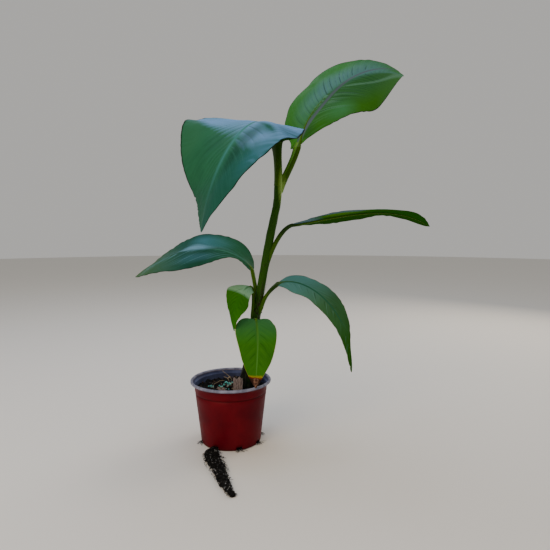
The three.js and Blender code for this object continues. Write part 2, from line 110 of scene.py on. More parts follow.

# Leaves. A heading turns from +X toward +Y, and a pitch rises from level.
# Pairs go from the blade's base to its tip, or from its left half to its right half.
# A stalk leaves the stem at the height stalk_from, shifted off the stem's middle. It runs along
# the stem for its sheath and comes in line with the blade over its neck. Its radii are those of
# its foot, its waist and its top, flare widens it under the blade, and shade is how dark the
# painted shadow on it is there.
# Heading and pitch turn with the share of the length to the power of sweep and bend.
# Peak sets where a half is widest and blunt how round it is, fold and curl tilt it, wave and
# phase ripple its margin, and its lobe reaches back past the blade's base.
# The trims move each half's margin out at five rows.
# A lift raises one half's margin round a row: the half, the row, its spread in rows, and mm.
LEAVES = {
    "front": dict(
        stalk_from=196, shift=(0, -8), sheath=30, neck=12, radii=(4, 3, 3.2),
        base=(48, -22, 233), length=128, width=(31.5, 35.5),
        heading=(-78.5, -110.5), sweep=1.31, pitch=(-11, -80.5), bend=0.39, roll=(11, -16.5),
        fold=(18, 7.5), curl=(-16, -5.5), lobe=(8, 0), peak=(0.7, 0.62), blunt=(1.34, 1.26),
        wave=(3.5, -1.5), phase=(0.22, 0.02),
        trim=((2.5, 0, 0, -1.5, -1.5), (-0.5, 2.5, -1, -1.5, -1.5)),
    ),
    "low_left": dict(
        stalk_from=222, shift=(-7, -5), sheath=40, neck=14, radii=(3.4, 2.8, 3),
        base=(39, -12, 292), length=104, width=(15.5, 36.5),
        heading=(-114.5, -154), sweep=1.1, pitch=(25.5, -101), bend=0.57, roll=(19, -4),
        fold=(-21.5, -4.5), curl=(-12.5, -27.5), lobe=(3.5, 4.5), peak=(0.78, 0.7), blunt=(1.02, 0.66),
        wave=(5, 0.5), phase=(0.42, 0.44),
        trim=((-3.5, 0, 1.5, 1, -4), (-2, 2.5, -1.5, -3, 0)),
    ),
    "mid_left": dict(
        stalk_from=255, shift=(-4, 3), sheath=20, neck=25, radii=(4.6, 4, 3.9),
        base=(41, 3, 321), length=240, width=(53.5, 62.5),
        heading=(194.5, 172.5), sweep=1.28, pitch=(79, -40.5), bend=0.47, roll=(36, -2),
        fold=(-9.5, -11), curl=(-17.5, 28.5), lobe=(0.5, 3.5), peak=(1.48, 1.06), blunt=(1.6, 1.16),
        wave=(3, -0.5), phase=(0.5, -0.16),
        trim=((3, -7, -2.5, -1.5, -4), (-3, 2, 0.5, -1, 1)),
    ),
    "low_right": dict(
        stalk_from=240, shift=(6, -4), sheath=30, neck=25, radii=(4.6, 4, 4),
        base=(87, -10, 296), length=240, width=(45, 21), flare=3, shade=1,
        heading=(-31.5, -19), sweep=0.94, pitch=(36.5, -92), bend=0.59, roll=(-33.5, 1),
        fold=(-20, -9), curl=(12.5, -1.5), lobe=(2.5, 1), peak=(1, 1.02), blunt=(1.12, 0.92),
        wave=(3.5, -0.5), phase=(-0.08, 0.06),
        trim=((-2, 1, 3.5, 1.5, 3.5), (-1.5, 5.5, 0.5, -1.5, -1)),
    ),
    "mid_right": dict(
        stalk_from=318, shift=(2, 0), sheath=24, neck=25, radii=(5.4, 4.6, 3.8),
        base=(115, -2, 404), length=268, width=(36, 36), shade=1,
        heading=(-1, 13), sweep=0.88, pitch=(11, -33), bend=2.77, roll=(10.5, -5),
        fold=(0, 18.5), curl=(-20.5, -25), lobe=(2, 1), peak=(1.08, 1.12), blunt=(1.24, 1.12),
        wave=(-2, 3), phase=(0.18, 0.4),
        trim=((-4, -1, 2, 1, 4), (2.5, -2, 1.5, 0.5, -5)),
    ),
    "top_right": dict(
        stalk_from=455, shift=(2, 6), sheath=25, neck=30, radii=(6.9, 6.4, 5.8), flare=4,
        base=(123, 12, 545), length=280, width=(65.5, 65),
        heading=(9.5, 15.5), sweep=0.66, pitch=(78.5, -9), bend=0.96, roll=(-26.5, -58.5),
        fold=(8.5, -26.5), curl=(-26.5, -23.5), lobe=(11, 0), peak=(0.86, 1.2), blunt=(1.16, 1.68),
        wave=(-1, -1), phase=(0, -0.32),
        trim=((4.5, 0.5, -0.5, -3, -6), (0, -0.5, -5.5, 5.5, -5.5)),
    ),
    "top_left": dict(
        stalk_from=474, shift=(0, 0), sheath=25, neck=15, radii=(7.2, 6.7, 6.6), flare=13, shade=0.6,
        base=(85, 12, 558), length=340, width=(91.5, 124.5),
        heading=(-108.5, -141), sweep=1.49, pitch=(56, -81.5), bend=0.52, roll=(25, -25.5),
        fold=(5, -7), curl=(-18.5, 4), lobe=(4.5, 5), peak=(0.96, 0.74), blunt=(1.24, 1.18),
        wave=(3.5, 6.5), phase=(-0.06, 0.04),
        trim=((-2, -1.5, 0.5, 1.5, 6), (1, 0.5, -3.5, 1.5, -4.5)),
        lift=((0, 0.33, 0.1, 8), (0, 0.48, 0.06, -15), (1, 0.41, 0.05, 8)),
    ),
}
SPLIT_LEAVES = ("mid_left", "low_right", "top_left")  # the model has an inner and an outer blade
MIDRIB_STEPS = 120
VEIN_SPREAD = 1.15  # a vein leaves the midrib at its row to this power
VEIN_BEND = 0.35  # how much more a vein leans toward the tip at the margin
CREASE_WIDTH = 1.1
BASE_HALF = 3
TIP_HALF = 0.8
LOBE_SHARE = 0.45
WAVES = 2.5
TRIM_ROWS = (0.1, 0.3, 0.5, 0.7, 0.9)
TRIM_SPREAD = 0.09
SHEEN_RIDGE_START = 0.495  # the row where the painted sheen line near a tip leaves the midrib
SHEEN_RIDGE_SLOPE = 1.27  # its reach per row from there
BLADE_ROWS = 220
BLADE_COLS = 34
RIB_THICKNESS = 0.9
RIM_THICKNESS = 0.4
STALK_WAIST = 0.6

# Roots on the ground, from the drain hole to the bundle's tip
ROOT_PATH = [
    [-23.4, -50.1, 2.8],
    [-28, -60, 3.2],
    [-25, -88, 3.6],
    [-11, -120, 3.6],
    [1, -160, 3.2],
    [15, -195, 2.8],
    [21, -207, 2.4],
]
ROOT_MOUTH_WIDTH = 10.2
ROOT_WIDTH = 25
ROOT_TIP_WIDTH = 9
ROOT_SPREAD = 0.0474  # share of its length in which the bundle spreads out
ROOT_FLATTENING = 1.25
ROOT_FIBRES = 420
ROOT_GRIT = 900
TUFT_HOLES = (0, 4, 6, 7)  # drain holes with a tuft of roots, counted from the first
TUFT_FIBRES = 16
TUFT_START = 50

# Stage, in metres
FLOOR_RADIUS = 7
SKY_STRENGTH = 0.6
SOFTBOXES = {  # place, the point that it faces, size, watts and tint
    "overhead_softbox": ((-0.3, 0.3, 2.0), (0.05, 0, 0.4), 1.6, 20, "#d2e2ff"),
    "front_softbox": ((-0.9, -1.7, 1.3), (0.05, 0, 0.35), 1.4, 28, "#ffe8c8"),
    "back_softbox": ((1.3, 1.2, 1.0), (0.05, 0, 0.4), 0.9, 12, "#fff1dc"),
}
CAMERA_PLACE = (0.083, -0.9, 0.3939)
CAMERA_DIP = 5.19
SENSOR_WIDTH = 36
FOCAL_LENGTH = 32.08


# Numbers


def mix(start, end, share):
    """From start at share 0 in a straight line to end at share 1."""
    return start + (end - start) * share


def ease(value, low, high):
    """0 below low, 1 above high, with a smooth turn between."""
    share = np.clip((value - low) / (high - low), 0, 1)
    return share * share * (3 - 2 * share)


def bump(value, middle, spread):
    """1 at the middle, fading to 0 on both sides of it."""
    return np.exp(-(((value - middle) / spread) ** 2))


def unit(vectors):
    """The same directions, each one long."""
    return vectors / np.linalg.norm(vectors, axis=-1, keepdims=True)


def circle(sides):
    """Angles evenly spread round a circle."""
    return np.arange(sides) * (2 * np.pi / sides)


def around(radius, angle, height, middle=0):
    """Points round an upright axis that stands at middle on the X axis."""
    radius, angle, height = np.broadcast_arrays(radius, angle, height)
    return np.stack([middle + radius * np.cos(angle), radius * np.sin(angle), height], -1)


def turned_from(angle, other):
    """How far an angle is from another one, the short way round."""
    return np.abs((angle - other + np.pi) % (2 * np.pi) - np.pi)


def ripple(places, size, seed):
    """Smooth random height of about -1 to 1: a sum of sines in random directions, each about size long."""
    waves = 14
    rng = np.random.default_rng(seed)
    turns = unit(rng.normal(size=(waves, places.shape[-1]))) * rng.uniform(0.6, 1.7, (waves, 1))
    phase = rng.uniform(0, 2 * np.pi, waves)
    return np.sin(places @ turns.T * (2 * np.pi / size) + phase).sum(-1) * (1.2 / math.sqrt(waves))


def smooth_curve(marks, values, at):
    """A smooth curve through values at marks: cubic pieces whose slopes agree where they meet."""
    slopes = np.gradient(values, marks, axis=0)
    i = np.clip(np.searchsorted(marks, at, side="right") - 1, 0, len(marks) - 2)
    span = marks[i + 1] - marks[i]
    t = (at - marks[i]) / span
    if values.ndim > 1:
        span, t = span[..., None], t[..., None]
    return (
        (2 * t**3 - 3 * t**2 + 1) * values[i] + (t**3 - 2 * t**2 + t) * span * slopes[i]
        + (3 * t**2 - 2 * t**3) * values[i + 1] + (t**3 - t**2) * span * slopes[i + 1]
    )


# Meshes


def grid_faces(rows, cols, ring=False):
    """Squares between neighbours of a grid of points; with ring, the last column joins the first."""
    i = np.arange(rows - 1)[:, None]
    j = np.arange(cols if ring else cols - 1)[None, :]
    here = i * cols + j
    beside = i * cols + (j + 1) % cols
    return np.stack([here, beside, beside + cols, here + cols], -1).reshape(-1, 4)


def tube_faces(rings, sides):
    """Squares round a tube of rings, and strips of squares across its two ends."""
    j = np.arange(sides // 2 - 1)
    end = np.stack([j, j + 1, sides - 2 - j, sides - 1 - j], -1)
    return np.vstack([grid_faces(rings, sides, ring=True), end, end + (rings - 1) * sides])


def fan_faces(centre, first, sides):
    """Triangles from one point to a ring of points."""
    j = np.arange(sides)
    return np.stack([np.full(sides, centre), first + j, first + (j + 1) % sides], -1)


def piece(name, shape, finish, replaces=(), smooth=True):
    """Makes one object at the origin from a shape and puts it on the plant.

    A shape is its points in millimetres, a list of arrays of faces, and a dict of values per
    point, where a single number goes for the whole piece.
    """
    points, faces, values = shape
    points = points.reshape(-1, 3) * MILLIMETRE
    mesh = bpy.data.meshes.new(name)
    mesh.from_pydata(points, [], [corners for some in faces for corners in some.tolist()])
    for key, value in values.items():
        if np.ndim(value) == 0:
            value = np.full(len(points), value)
        value = np.asarray(value, np.float32).reshape(len(points), -1)
        kind, field = ("FLOAT", "value") if value.shape[1] == 1 else ("FLOAT_VECTOR", "vector")
        mesh.attributes.new(key, kind, "POINT").data.foreach_set(field, value.ravel())
    turned = bmesh.new()
    turned.from_mesh(mesh)
    bmesh.ops.recalc_face_normals(turned, faces=turned.faces)
    turned.to_mesh(mesh)
    turned.free()
    mesh.polygons.foreach_set("use_smooth", np.full(len(mesh.polygons), smooth))
    mesh.materials.append(finish)
    obj = bpy.data.objects.new(name, mesh)
    bpy.context.scene.collection.objects.link(obj)
    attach(obj, "root")
    if replaces:
        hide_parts(*replaces)


def strands(paths, radii, sides):
    """Thin tubes round many lines at once: a ring of points square to each line at each of its points."""
    count, stops = paths.shape[:2]
    along = unit(np.gradient(paths, axis=1))
    across = unit(np.cross(along, [0.3, 0.5, 0.81]))
    upward = np.cross(across, along)
    angle = circle(sides)
    rings = (
        paths[:, :, None]
        + radii[..., None, None] * (across[:, :, None] * np.cos(angle)[:, None]
                                    + upward[:, :, None] * np.sin(angle)[:, None])
    )
    faces = tube_faces(stops, sides)
    shifts = np.arange(count)[:, None, None] * (stops * sides)
    return rings, [(faces + shifts).reshape(-1, 4)]


def copies(shape, faces, centres, turns, sizes, rough, rng):
    """Many copies of one small shape, each turned, stretched by its sizes and roughened."""
    count = len(centres)
    grown = shape * (1 + rough * rng.uniform(-1, 1, (count, len(shape), 1))) * sizes[:, None, :]
    points = centres[:, None, :] + np.einsum("nij,nkj->nki", turns, grown)
    shifts = np.arange(count)[:, None, None] * len(shape)
    return points, [(faces + shifts).reshape(-1, faces.shape[1])]


def scattered(shape, faces, centres, sizes, rough, seed):
    """Copies of a small shape, each turned at random."""
    rng = np.random.default_rng(seed)
    turns = np.linalg.qr(rng.normal(size=(len(centres), 3, 3)))[0]
    return copies(shape, faces, centres, turns, sizes, rough, rng)


def nugget():
    """The twelve points of an icosahedron and its twenty faces: every three points that are neighbours."""
    g = (1 + math.sqrt(5)) / 2
    points = np.array([[-1, g, 0], [1, g, 0], [-1, -g, 0], [1, -g, 0], [0, -1, g], [0, 1, g],
                       [0, -1, -g], [0, 1, -g], [g, 0, -1], [g, 0, 1], [-g, 0, -1], [-g, 0, 1]])
    gaps = np.linalg.norm(points[:, None] - points[None], axis=-1)
    near = np.isclose(gaps, 2)
    i, j, k = np.nonzero(near[:, :, None] & near[:, None, :] & near[None, :, :])
    return unit(points), np.stack([i, j, k], -1)[(i < j) & (j < k)]


# Materials


def colour(code):
    """Linear colour of an sRGB hex value, by the sRGB curve, with an alpha of one."""
    parts = [int(code[i:i + 2], 16) / 255 for i in (1, 3, 5)]
    return [c / 12.92 if c <= 0.04045 else ((c + 0.055) / 1.055) ** 2.4 for c in parts] + [1]


def put(tree, kind, inputs=None, stops=None, **settings):
    """Adds a node with its settings. Its inputs take values, hex colours, or nodes (their first output)."""
    node = tree.nodes.new(kind)
    for name, value in settings.items():
        setattr(node, name, value)
    for name, value in (inputs or {}).items():
        if isinstance(value, bpy.types.Node):
            value = next(output for output in value.outputs if output.enabled)
        if isinstance(value, bpy.types.NodeSocket):
            tree.links.new(value, node.inputs[name])
        else:
            node.inputs[name].default_value = colour(value) if isinstance(value, str) else value
    if stops:
        ramp = node.color_ramp.elements
        for i, (position, code) in enumerate(stops):
            stop = ramp[i] if i < 2 else ramp.new(position)
            stop.position = position
            stop.color = colour(code)
    return node


def material(name):
    """A new material and its empty node tree."""
    made = bpy.data.materials.new(name)
    made.use_nodes = True
    made.node_tree.nodes.clear()
    return made, made.node_tree


def surfaced(made, inputs):
    """Gives a material its Principled surface."""
    surface = put(made.node_tree, "ShaderNodeBsdfPrincipled", inputs)
    put(made.node_tree, "ShaderNodeOutputMaterial", {"Surface": surface})
    return made


def paint(tree, body, coats):
    """Lays coats over a body colour.

    A coat is its colour, a pattern, the pattern's values where it starts and is full, and its
    cover there. Sockets 6 and 7 of a mix are its two colours.
    """
    for code, pattern, start, full, cover in coats:
        amount = put(tree, "ShaderNodeMapRange", {
            "Value": pattern, "From Min": start, "From Max": full, "To Min": 0.0, "To Max": cover,
        })
        body = put(tree, "ShaderNodeMix", {"Factor": amount, 6: body, 7: code}, data_type="RGBA")
    return body


def speckle(tree, vector, size, detail=3.0, rough=0.55):
    """Noise with spots of a size in millimetres; three sizes draw the spots out along an axis."""
    sizes = size if isinstance(size, tuple) else (size, size, size)
    scale = [1 / (along * MILLIMETRE) for along in sizes]
    drawn_out = put(tree, "ShaderNodeMapping", {"Vector": vector, "Scale": scale})
    return put(tree, "ShaderNodeTexNoise",
               {"Vector": drawn_out, "Scale": 1.0, "Detail": detail, "Roughness": rough})


def measured(tree, name):
    """The three numbers that the mesh holds under a name at each point."""
    held = put(tree, "ShaderNodeAttribute", attribute_name=name).outputs["Vector"]
    return put(tree, "ShaderNodeSeparateXYZ", {0: held}).outputs


def leaf_tissue(name, body, light, under, vein, crease, rib, rim, shine, washes, marks=(), dry=None):
    """Banana leaf tissue: waxy cuticle over parallel veins.

    It gives the eye a deep green that turns from one tone to another over the blade, a painted
    blue sky reflection where it faces up, painted sheen lines and patches on some blades, fine
    pale veins, painted shade in the creases along the veins and a faint painted highlight on the
    pleats between them, a broad midrib, a thin dark or pale rim, and a soft gloss. Past the share
    dry the tip is dead.
    """
    made, tree = material(name)
    part, share, upper = measured(tree, "leaf_place")
    ribbed, pleat, upward = measured(tree, "leaf_detail")
    reach, rib_glow, sheen_streak = measured(tree, "leaf_zone")
    first, second, third = measured(tree, "leaf_patch")
    veins = put(tree, "ShaderNodeAttribute", attribute_name="vein_lines").outputs["Vector"]
    spots = put(tree, "ShaderNodeTexCoord").outputs["Object"]
    # Fine veins are about 1.4 mm apart and run the whole way to the rim
    fine = speckle(tree, veins, (71.4, 1.43, 71.4), 2.0, 0.6)
    bands = speckle(tree, veins, (200, 9.09, 200), 2.0, 0.5)
    clouds = speckle(tree, spots, 62.5)
    measures = {"reach": reach, "share": share, "up": upward, "part": part, "rib": rib_glow,
                "sheen_streak": sheen_streak, "first": first, "second": second, "third": third}
    skin = paint(tree, body, [(light, clouds, 0.35, 0.68, 1.0), (light, bands, 0.4, 0.7, 0.4)])
    skin = paint(tree, skin, [(code, measures[key], *span) for code, key, *span in washes])
    below = paint(tree, under, [(code, measures[key], *span) for code, key, *span in marks])
    skin = paint(tree, skin, [(below, upper, 0.6, 0.4, 1.0)])
    # On the fine lines the vein colour is the veins' own paler colour. On the pleats' crests it is a faint
    # painted highlight, and the crease colour is painted shade in the creases
    skin = paint(tree, skin, [
        (vein, fine, 0.5, 0.78, 0.22),
        (vein, pleat, 0.08, 0.3, 0.12),
        (crease, pleat, -0.5, -0.95, 0.7),
        (rib, ribbed, 0.25, 0.75, 1.0),
        (rim, part, 0.972, 0.992, 1.0),
    ])
    if dry:
        # The dead tip: a yellow edge, a red-brown line and then blotched brown tissue
        grit = speckle(tree, spots, 5.56)
        dead = paint(tree, "#40281f", [
            ("#82604e", grit, 0.48, 0.62, 0.8),
            ("#180e0a", part, 0.45, 1.0, 0.8),
        ])
        ragged = put(tree, "ShaderNodeMath", {0: grit, 1: 0.05, 2: share}, operation="MULTIPLY_ADD")
        skin = paint(tree, skin, [
            ("#8c8214", ragged, dry - 0.022, dry + 0.002, 1.0),
            ("#64280a", ragged, dry + 0.002, dry + 0.011, 1.0),
            (dead, ragged, dry + 0.014, dry + 0.026, 1.0),
        ])
    gloss = put(tree, "ShaderNodeMapRange", {
        "Value": speckle(tree, spots, 16.7),
        "From Min": 0.3, "From Max": 0.7, "To Min": 0.42, "To Max": 0.56,
    })
    relief = put(tree, "ShaderNodeBump", {"Height": fine, "Strength": 0.35, "Distance": 0.0004})
    return surfaced(made, {"Base Color": skin, "Roughness": gloss, "IOR": 1.42,
                           "Specular IOR Level": shine, "Normal": relief})


def stalk_tissue(name, low, high, lit, turn_height, soft, stained):
    """Fleshy green stalk and sheath tissue: smooth and waxy, with fine lines along it.

    It gives the eye a dark base that turns green with height, brown dry sheath edges low down, a
    painted lit green along the open channel on the upper side, a painted highlight where the top
    two stalks part, and painted shade on a stalk's neck under its blade.
    """
    made, tree = material(name)
    edge, channel, neck = measured(tree, "stalk_detail")
    spots = put(tree, "ShaderNodeTexCoord").outputs["Object"]
    height = put(tree, "ShaderNodeSeparateXYZ", {0: spots}).outputs["Z"]
    lines = speckle(tree, spots, (1.11, 1.11, 45.5), 2.0, 0.6)
    ragged = put(tree, "ShaderNodeMath", {0: speckle(tree, spots, 18.2, 5), 1: soft, 2: height},
                 operation="MULTIPLY_ADD")
    # The painted highlight at the fork is slim and upright
    from_fork = put(tree, "ShaderNodeVectorMath", {0: spots, 1: FORK_HIGHLIGHT_PLACE}, operation="SUBTRACT")
    drawn_in = put(tree, "ShaderNodeVectorMath", {0: from_fork, 1: (2.6, 1, 0.55)}, operation="MULTIPLY")
    fork_highlight_gap = put(tree, "ShaderNodeVectorMath", {0: drawn_in}, operation="LENGTH").outputs["Value"]
    old = put(tree, "ShaderNodeMapRange", {
        "Value": height, "From Min": 0.36, "From Max": 0.3, "To Min": 0.0, "To Max": 1.0,
    })
    stains = put(tree, "ShaderNodeMath", {0: speckle(tree, spots, 4.17, 4), 1: old}, operation="MULTIPLY")
    dry_edge = put(tree, "ShaderNodeMath", {0: edge, 1: old}, operation="MULTIPLY")
    body = paint(tree, low, [
        (high, ragged, turn_height, turn_height + soft, 1.0),
        (lit, lines, 0.5, 0.9, 0.2),
        # Painted light on the open channel along a stalk's upper side
        (lit, channel, 0.1, 0.9, 0.75),
        # A painted highlight round the fork
        ("#8cb04c", fork_highlight_gap, 0.024, 0.009, 0.85),
        ("#0c1804", edge, 0.2, 0.9, 0.25),
        ("#1e1810", stains, 0.62, 0.72, stained),
        ("#201808", dry_edge, 0.2, 0.9, 0.85),
        # Painted shadow on the neck, where the stalk runs under its blade
        ("#123006", neck, 0.15, 0.8, 0.8),
    ])
    relief = put(tree, "ShaderNodeBump", {"Height": lines, "Strength": 0.2, "Distance": 0.0004})
    return surfaced(made, {"Base Color": body, "Roughness": 0.45, "IOR": 1.42,
                           "Specular IOR Level": 0.15, "Normal": relief})


def pot_plastic():
    """Moulded polypropylene, red outside and near-black inside.

    It gives the eye a dark red with a soft gloss, dust and fine scuffs, a grey rim that is partly
    wear and dust and partly a painted sky reflection, painted shade in the groove, and a red that
    darkens towards the foot.
    """
    made, tree = material("moulded_polypropylene")
    inside, rim, groove = measured(tree, "pot_layer")
    spots = put(tree, "ShaderNodeTexCoord").outputs["Object"]
    height = put(tree, "ShaderNodeSeparateXYZ", {0: spots}).outputs["Z"]
    tilted = put(tree, "ShaderNodeMapping", {"Vector": spots, "Rotation": (0.3, 0.2, 0.4)})
    red = paint(tree, "#4e0612", [
        ("#620a16", speckle(tree, spots, 45.5, 4), 0.35, 0.7, 1.0),
        ("#8c4a44", speckle(tree, spots, 3.85, 6, 0.7), 0.62, 0.85, 0.08),
        ("#a05a50", speckle(tree, tilted, (16.7, 16.7, 0.667), 3.0, 0.7), 0.72, 0.78, 0.3),
        ("#2a1512", height, 0.008, 0.0, 0.4),
        # Painted shade in the groove
        ("#2c0708", groove, 0.2, 1.0, 0.7),
    ])
    black = paint(tree, "#383e5c", [
        ("#4e567a", speckle(tree, spots, 22.2, 4), 0.4, 0.7, 1.0),
        ("#1a1a22", speckle(tree, spots, 3.125, 5, 0.7), 0.6, 0.68, 0.6),
    ])
    # The rim: its grey and paler patches are partly wear and dust and partly a painted sky reflection on the
    # gloss, and its dark spots are dirt
    wear_and_sheen = paint(tree, "#5c5e72", [
        ("#9496ac", speckle(tree, spots, 14.3, 4), 0.35, 0.7, 1.0),
        ("#2a2228", speckle(tree, spots, 9.09, 6, 0.8), 0.66, 0.69, 0.8),
    ])
    body = paint(tree, red, [(black, inside, 0.0, 1.0, 1.0), (wear_and_sheen, rim, 0.0, 1.0, 1.0)])
    gloss = put(tree, "ShaderNodeMapRange", {
        "Value": speckle(tree, spots, 11.1, 4),
        "From Min": 0.3, "From Max": 0.7, "To Min": 0.34, "To Max": 0.52,
    })
    relief = put(tree, "ShaderNodeBump",
                 {"Height": speckle(tree, spots, 2, 4, 0.6), "Strength": 0.12, "Distance": 0.0003})
    return surfaced(made, {"Base Color": body, "Roughness": gloss, "IOR": 1.49,
                           "Specular IOR Level": 0.06, "Normal": relief})


def crumbly(name, stops, rough, relief, grain):
    """Dry or damp organic matter: matt and grainy, each bit with its own tone.

    It gives the eye a surface broken up into dark and pale grit, each grain some 2 mm wide.
    """
    made, tree = material(name)
    tone = put(tree, "ShaderNodeAttribute", attribute_name="tone").outputs["Fac"]
    spots = put(tree, "ShaderNodeTexCoord").outputs["Object"]
    grit = speckle(tree, spots, grain, 5, 0.65)
    mottled = put(tree, "ShaderNodeMath", {0: grit, 1: 0.4, 2: tone}, operation="MULTIPLY_ADD")
    mottled = put(tree, "ShaderNodeMath", {0: mottled, 1: 0.2}, operation="SUBTRACT")
    body = put(tree, "ShaderNodeValToRGB", {0: mottled}, stops=stops)
    bumps = put(tree, "ShaderNodeBump", {"Height": grit, "Strength": 0.8, "Distance": relief})
    return surfaced(made, {"Base Color": body, "Roughness": rough,
                           "Specular IOR Level": 0.15, "Normal": bumps})


def bark(name, dark, pale, cracks):
    """Weathered bark or dried stem fibre.

    It gives the eye a dull grey-brown with long fine fibres and dark cracks.
    """
    made, tree = material(name)
    spots = put(tree, "ShaderNodeTexCoord").outputs["Object"]
    fibres = speckle(tree, spots, (1.11, 1.11, 9.09), 4.0, 0.7)
    body = paint(tree, dark, [
        (pale, fibres, 0.36, 0.64, 1.0),
        (cracks, speckle(tree, spots, 7.69, 5), 0.6, 0.7, 0.8),
    ])
    bumps = put(tree, "ShaderNodeBump", {"Height": fibres, "Strength": 0.9, "Distance": 0.0012})
    return surfaced(made, {"Base Color": body, "Roughness": 0.85, "Normal": bumps})


def bead_resin():
    """Resin-coated feed, moulded in small balls.

    It gives the eye a turquoise that is a little paler in spots, with a soft shine.
    """
    made, tree = material("resin_coated_feed")
    spots = put(tree, "ShaderNodeTexCoord").outputs["Object"]
    body = paint(tree, "#1f9c9a", [("#bfe6e2", speckle(tree, spots, 3.33), 0.4, 0.7, 0.4)])
    return surfaced(made, {"Base Color": body, "Roughness": 0.35, "Coat Weight": 0.3})


# Pot


def pot_rows():
    """Radius and height of each ring of the pot: the outside from its floor to the lip, and the inside."""
    wall_low, wall_high = 2.2, POT_GROOVE_HEIGHT - 2
    climb = np.linspace(DRAIN_HEIGHT, wall_high, 16)
    slope = mix(POT_FOOT_RADIUS, POT_BODY_RADIUS, (climb - wall_low) / (wall_high - wall_low))
    foot = [(4, 0), (25, 0), (DRAIN_INNER_RADIUS, 0), (50.5, 0), (53.2, 0), (54.7, 0.5), (55.5, 1.3),
            (POT_FOOT_RADIUS, wall_low), (56.1, 4.6)]
    groove, ledge = POT_GROOVE_HEIGHT, POT_HEIGHT - LEDGE_DROP
    collar = [(65.5, groove - 1.5), (65.1, groove - 1), (64.9, groove), (65.1, groove + 1),
              (66.2, groove + 2), (66.8, groove + 3), (67.1, groove + 7), (POT_COLLAR_RADIUS, ledge - 3),
              (68.2, ledge - 0.8), (69.4, ledge + 0.8), (70.4, ledge + 2.2)]
    outside = foot + list(zip(slope, climb)) + collar
    inside = [(r - (POT_WALL if z > 3 else 0), max(z, POT_FLOOR)) for r, z in outside]
    for i, (r, z) in enumerate(outside):
        if DRAIN_INNER_RADIUS < r < 56 and z < 3:
            # The floor turns up into the wall in a small curve
            by_wall = POT_FOOT_RADIUS - POT_WALL - 0.2 * (7 - i)
            inside[i] = (min(r - 0.4, by_wall), POT_FLOOR + 0.15 * max(i - 4, 0))
    inside[-3:] = [(65.9, ledge - 1.2), (66.2, ledge - 0.3), (66.9, ledge)]
    centre, top = LIP_RADIUS - LIP_TUBE, POT_HEIGHT - LIP_TUBE
    turn = np.radians(np.arange(-100, 186, 17))
    lip = list(zip(centre + LIP_TUBE * np.cos(turn), top + LIP_TUBE * np.sin(turn)))
    outside += lip + [(69.6, top - 1.6), (69.1, ledge + 2.4), (68.4, ledge + 0.9), (67.7, ledge + 0.1)]
    return np.array(outside, float), np.array(inside, float)


def pot_shape():
    """The pot's wall: rings of points round two outlines, with the squares at the drain holes left out.

    The edges of each hole are closed by squares from the outer to the inner skin.
    """
    outer, inner = pot_rows()
    sector = 360 / DRAIN_HOLES
    hole = np.linspace(-DRAIN_HALF_TURN, DRAIN_HALF_TURN, 7)[:-1]
    plain_arc = np.linspace(DRAIN_HALF_TURN, sector - DRAIN_HALF_TURN, 19)[:-1]
    steps = np.concatenate([hole, plain_arc])
    angle = np.radians((FIRST_DRAIN_ANGLE + np.arange(DRAIN_HOLES)[:, None] * sector + steps).ravel())
    sides = len(angle)
    skins = []
    for rows in (outer, inner):
        radius, height = rows[:, :1], rows[:, 1:]
        # A thin wall is never quite round
        sway = (0.35 * np.sin(2 * angle + 0.7) + 0.22 * np.sin(5 * angle + 2)) * (height / POT_HEIGHT) ** 1.5
        skins.append(around(radius + sway, angle, height).reshape(-1, 3))
    holes = np.zeros((len(inner) - 1, sides), bool)
    rows_open = (inner[:-1, 1] < DRAIN_HEIGHT) & (outer[:len(inner) - 1, 0] >= DRAIN_INNER_RADIUS - 0.1)
    holes[np.ix_(rows_open, np.arange(sides) % len(steps) < len(hole))] = True
    first = len(outer) * sides
    out_faces = grid_faces(len(outer), sides, ring=True).reshape(len(outer) - 1, sides, 4)
    in_faces = grid_faces(len(inner), sides, ring=True).reshape(len(inner) - 1, sides, 4)
    keep = np.ones((len(outer) - 1, sides), bool)
    keep[: len(inner) - 1] &= ~holes
    faces = [out_faces[keep], in_faces[~holes][:, ::-1] + first]
    i, j = np.nonzero(holes[1:] != holes[:-1])
    edge = (i + 1) * sides + j
    edge_next = (i + 1) * sides + (j + 1) % sides
    faces.append(np.stack([edge, edge_next, edge_next + first, edge + first], -1))
    i, j = np.nonzero(holes != np.roll(holes, 1, axis=1))
    edge = i * sides + j
    faces.append(np.stack([edge, edge + sides, edge + sides + first, edge + first], -1))
    top_out, top_in = (len(outer) - 1) * sides, first + (len(inner) - 1) * sides
    j = np.arange(sides)
    after = (j + 1) % sides
    faces.append(np.stack([top_out + j, top_out + after, top_in + after, top_in + j], -1))
    points = np.vstack([*skins, [[0, 0, 0], [0, 0, POT_FLOOR]]])
    faces.append(fan_faces(len(points) - 2, 0, sides))
    faces.append(fan_faces(len(points) - 1, first, sides))
    row = np.arange(len(outer))
    lip_start = len(inner)
    inside_out = np.where(row >= len(outer) - 4, 1.0, 0.0)
    rim_out = np.where((row >= lip_start) & (row < len(outer) - 4), 1.0, 0.0)
    groove_shade_out = bump(outer[:, 1], POT_GROOVE_HEIGHT, 1.2) * (row < lip_start)
    layer_out = np.stack([inside_out, rim_out, groove_shade_out], -1)[:, None].repeat(sides, 1)
    layer_in = np.zeros((len(inner), sides, 3))
    layer_in[..., 0] = 1
    values = np.vstack([layer_out.reshape(-1, 3), layer_in.reshape(-1, 3), [[0, 0, 0], [1, 0, 0]]])
    return points, faces, {"pot_layer": values}


# Soil


def soil_height(x, y):
    """Level of the mix: small random heaps, and a mound against the stem."""
    flat = np.stack([x, y], -1)
    mound = bump(np.hypot(x - STEM_FOOT, y), 0, 24)
    return SOIL_TOP - 0.8 + (1.6 * ripple(flat, 26, 5) + 0.8 * ripple(flat, 9, 6) + 3 * mound)


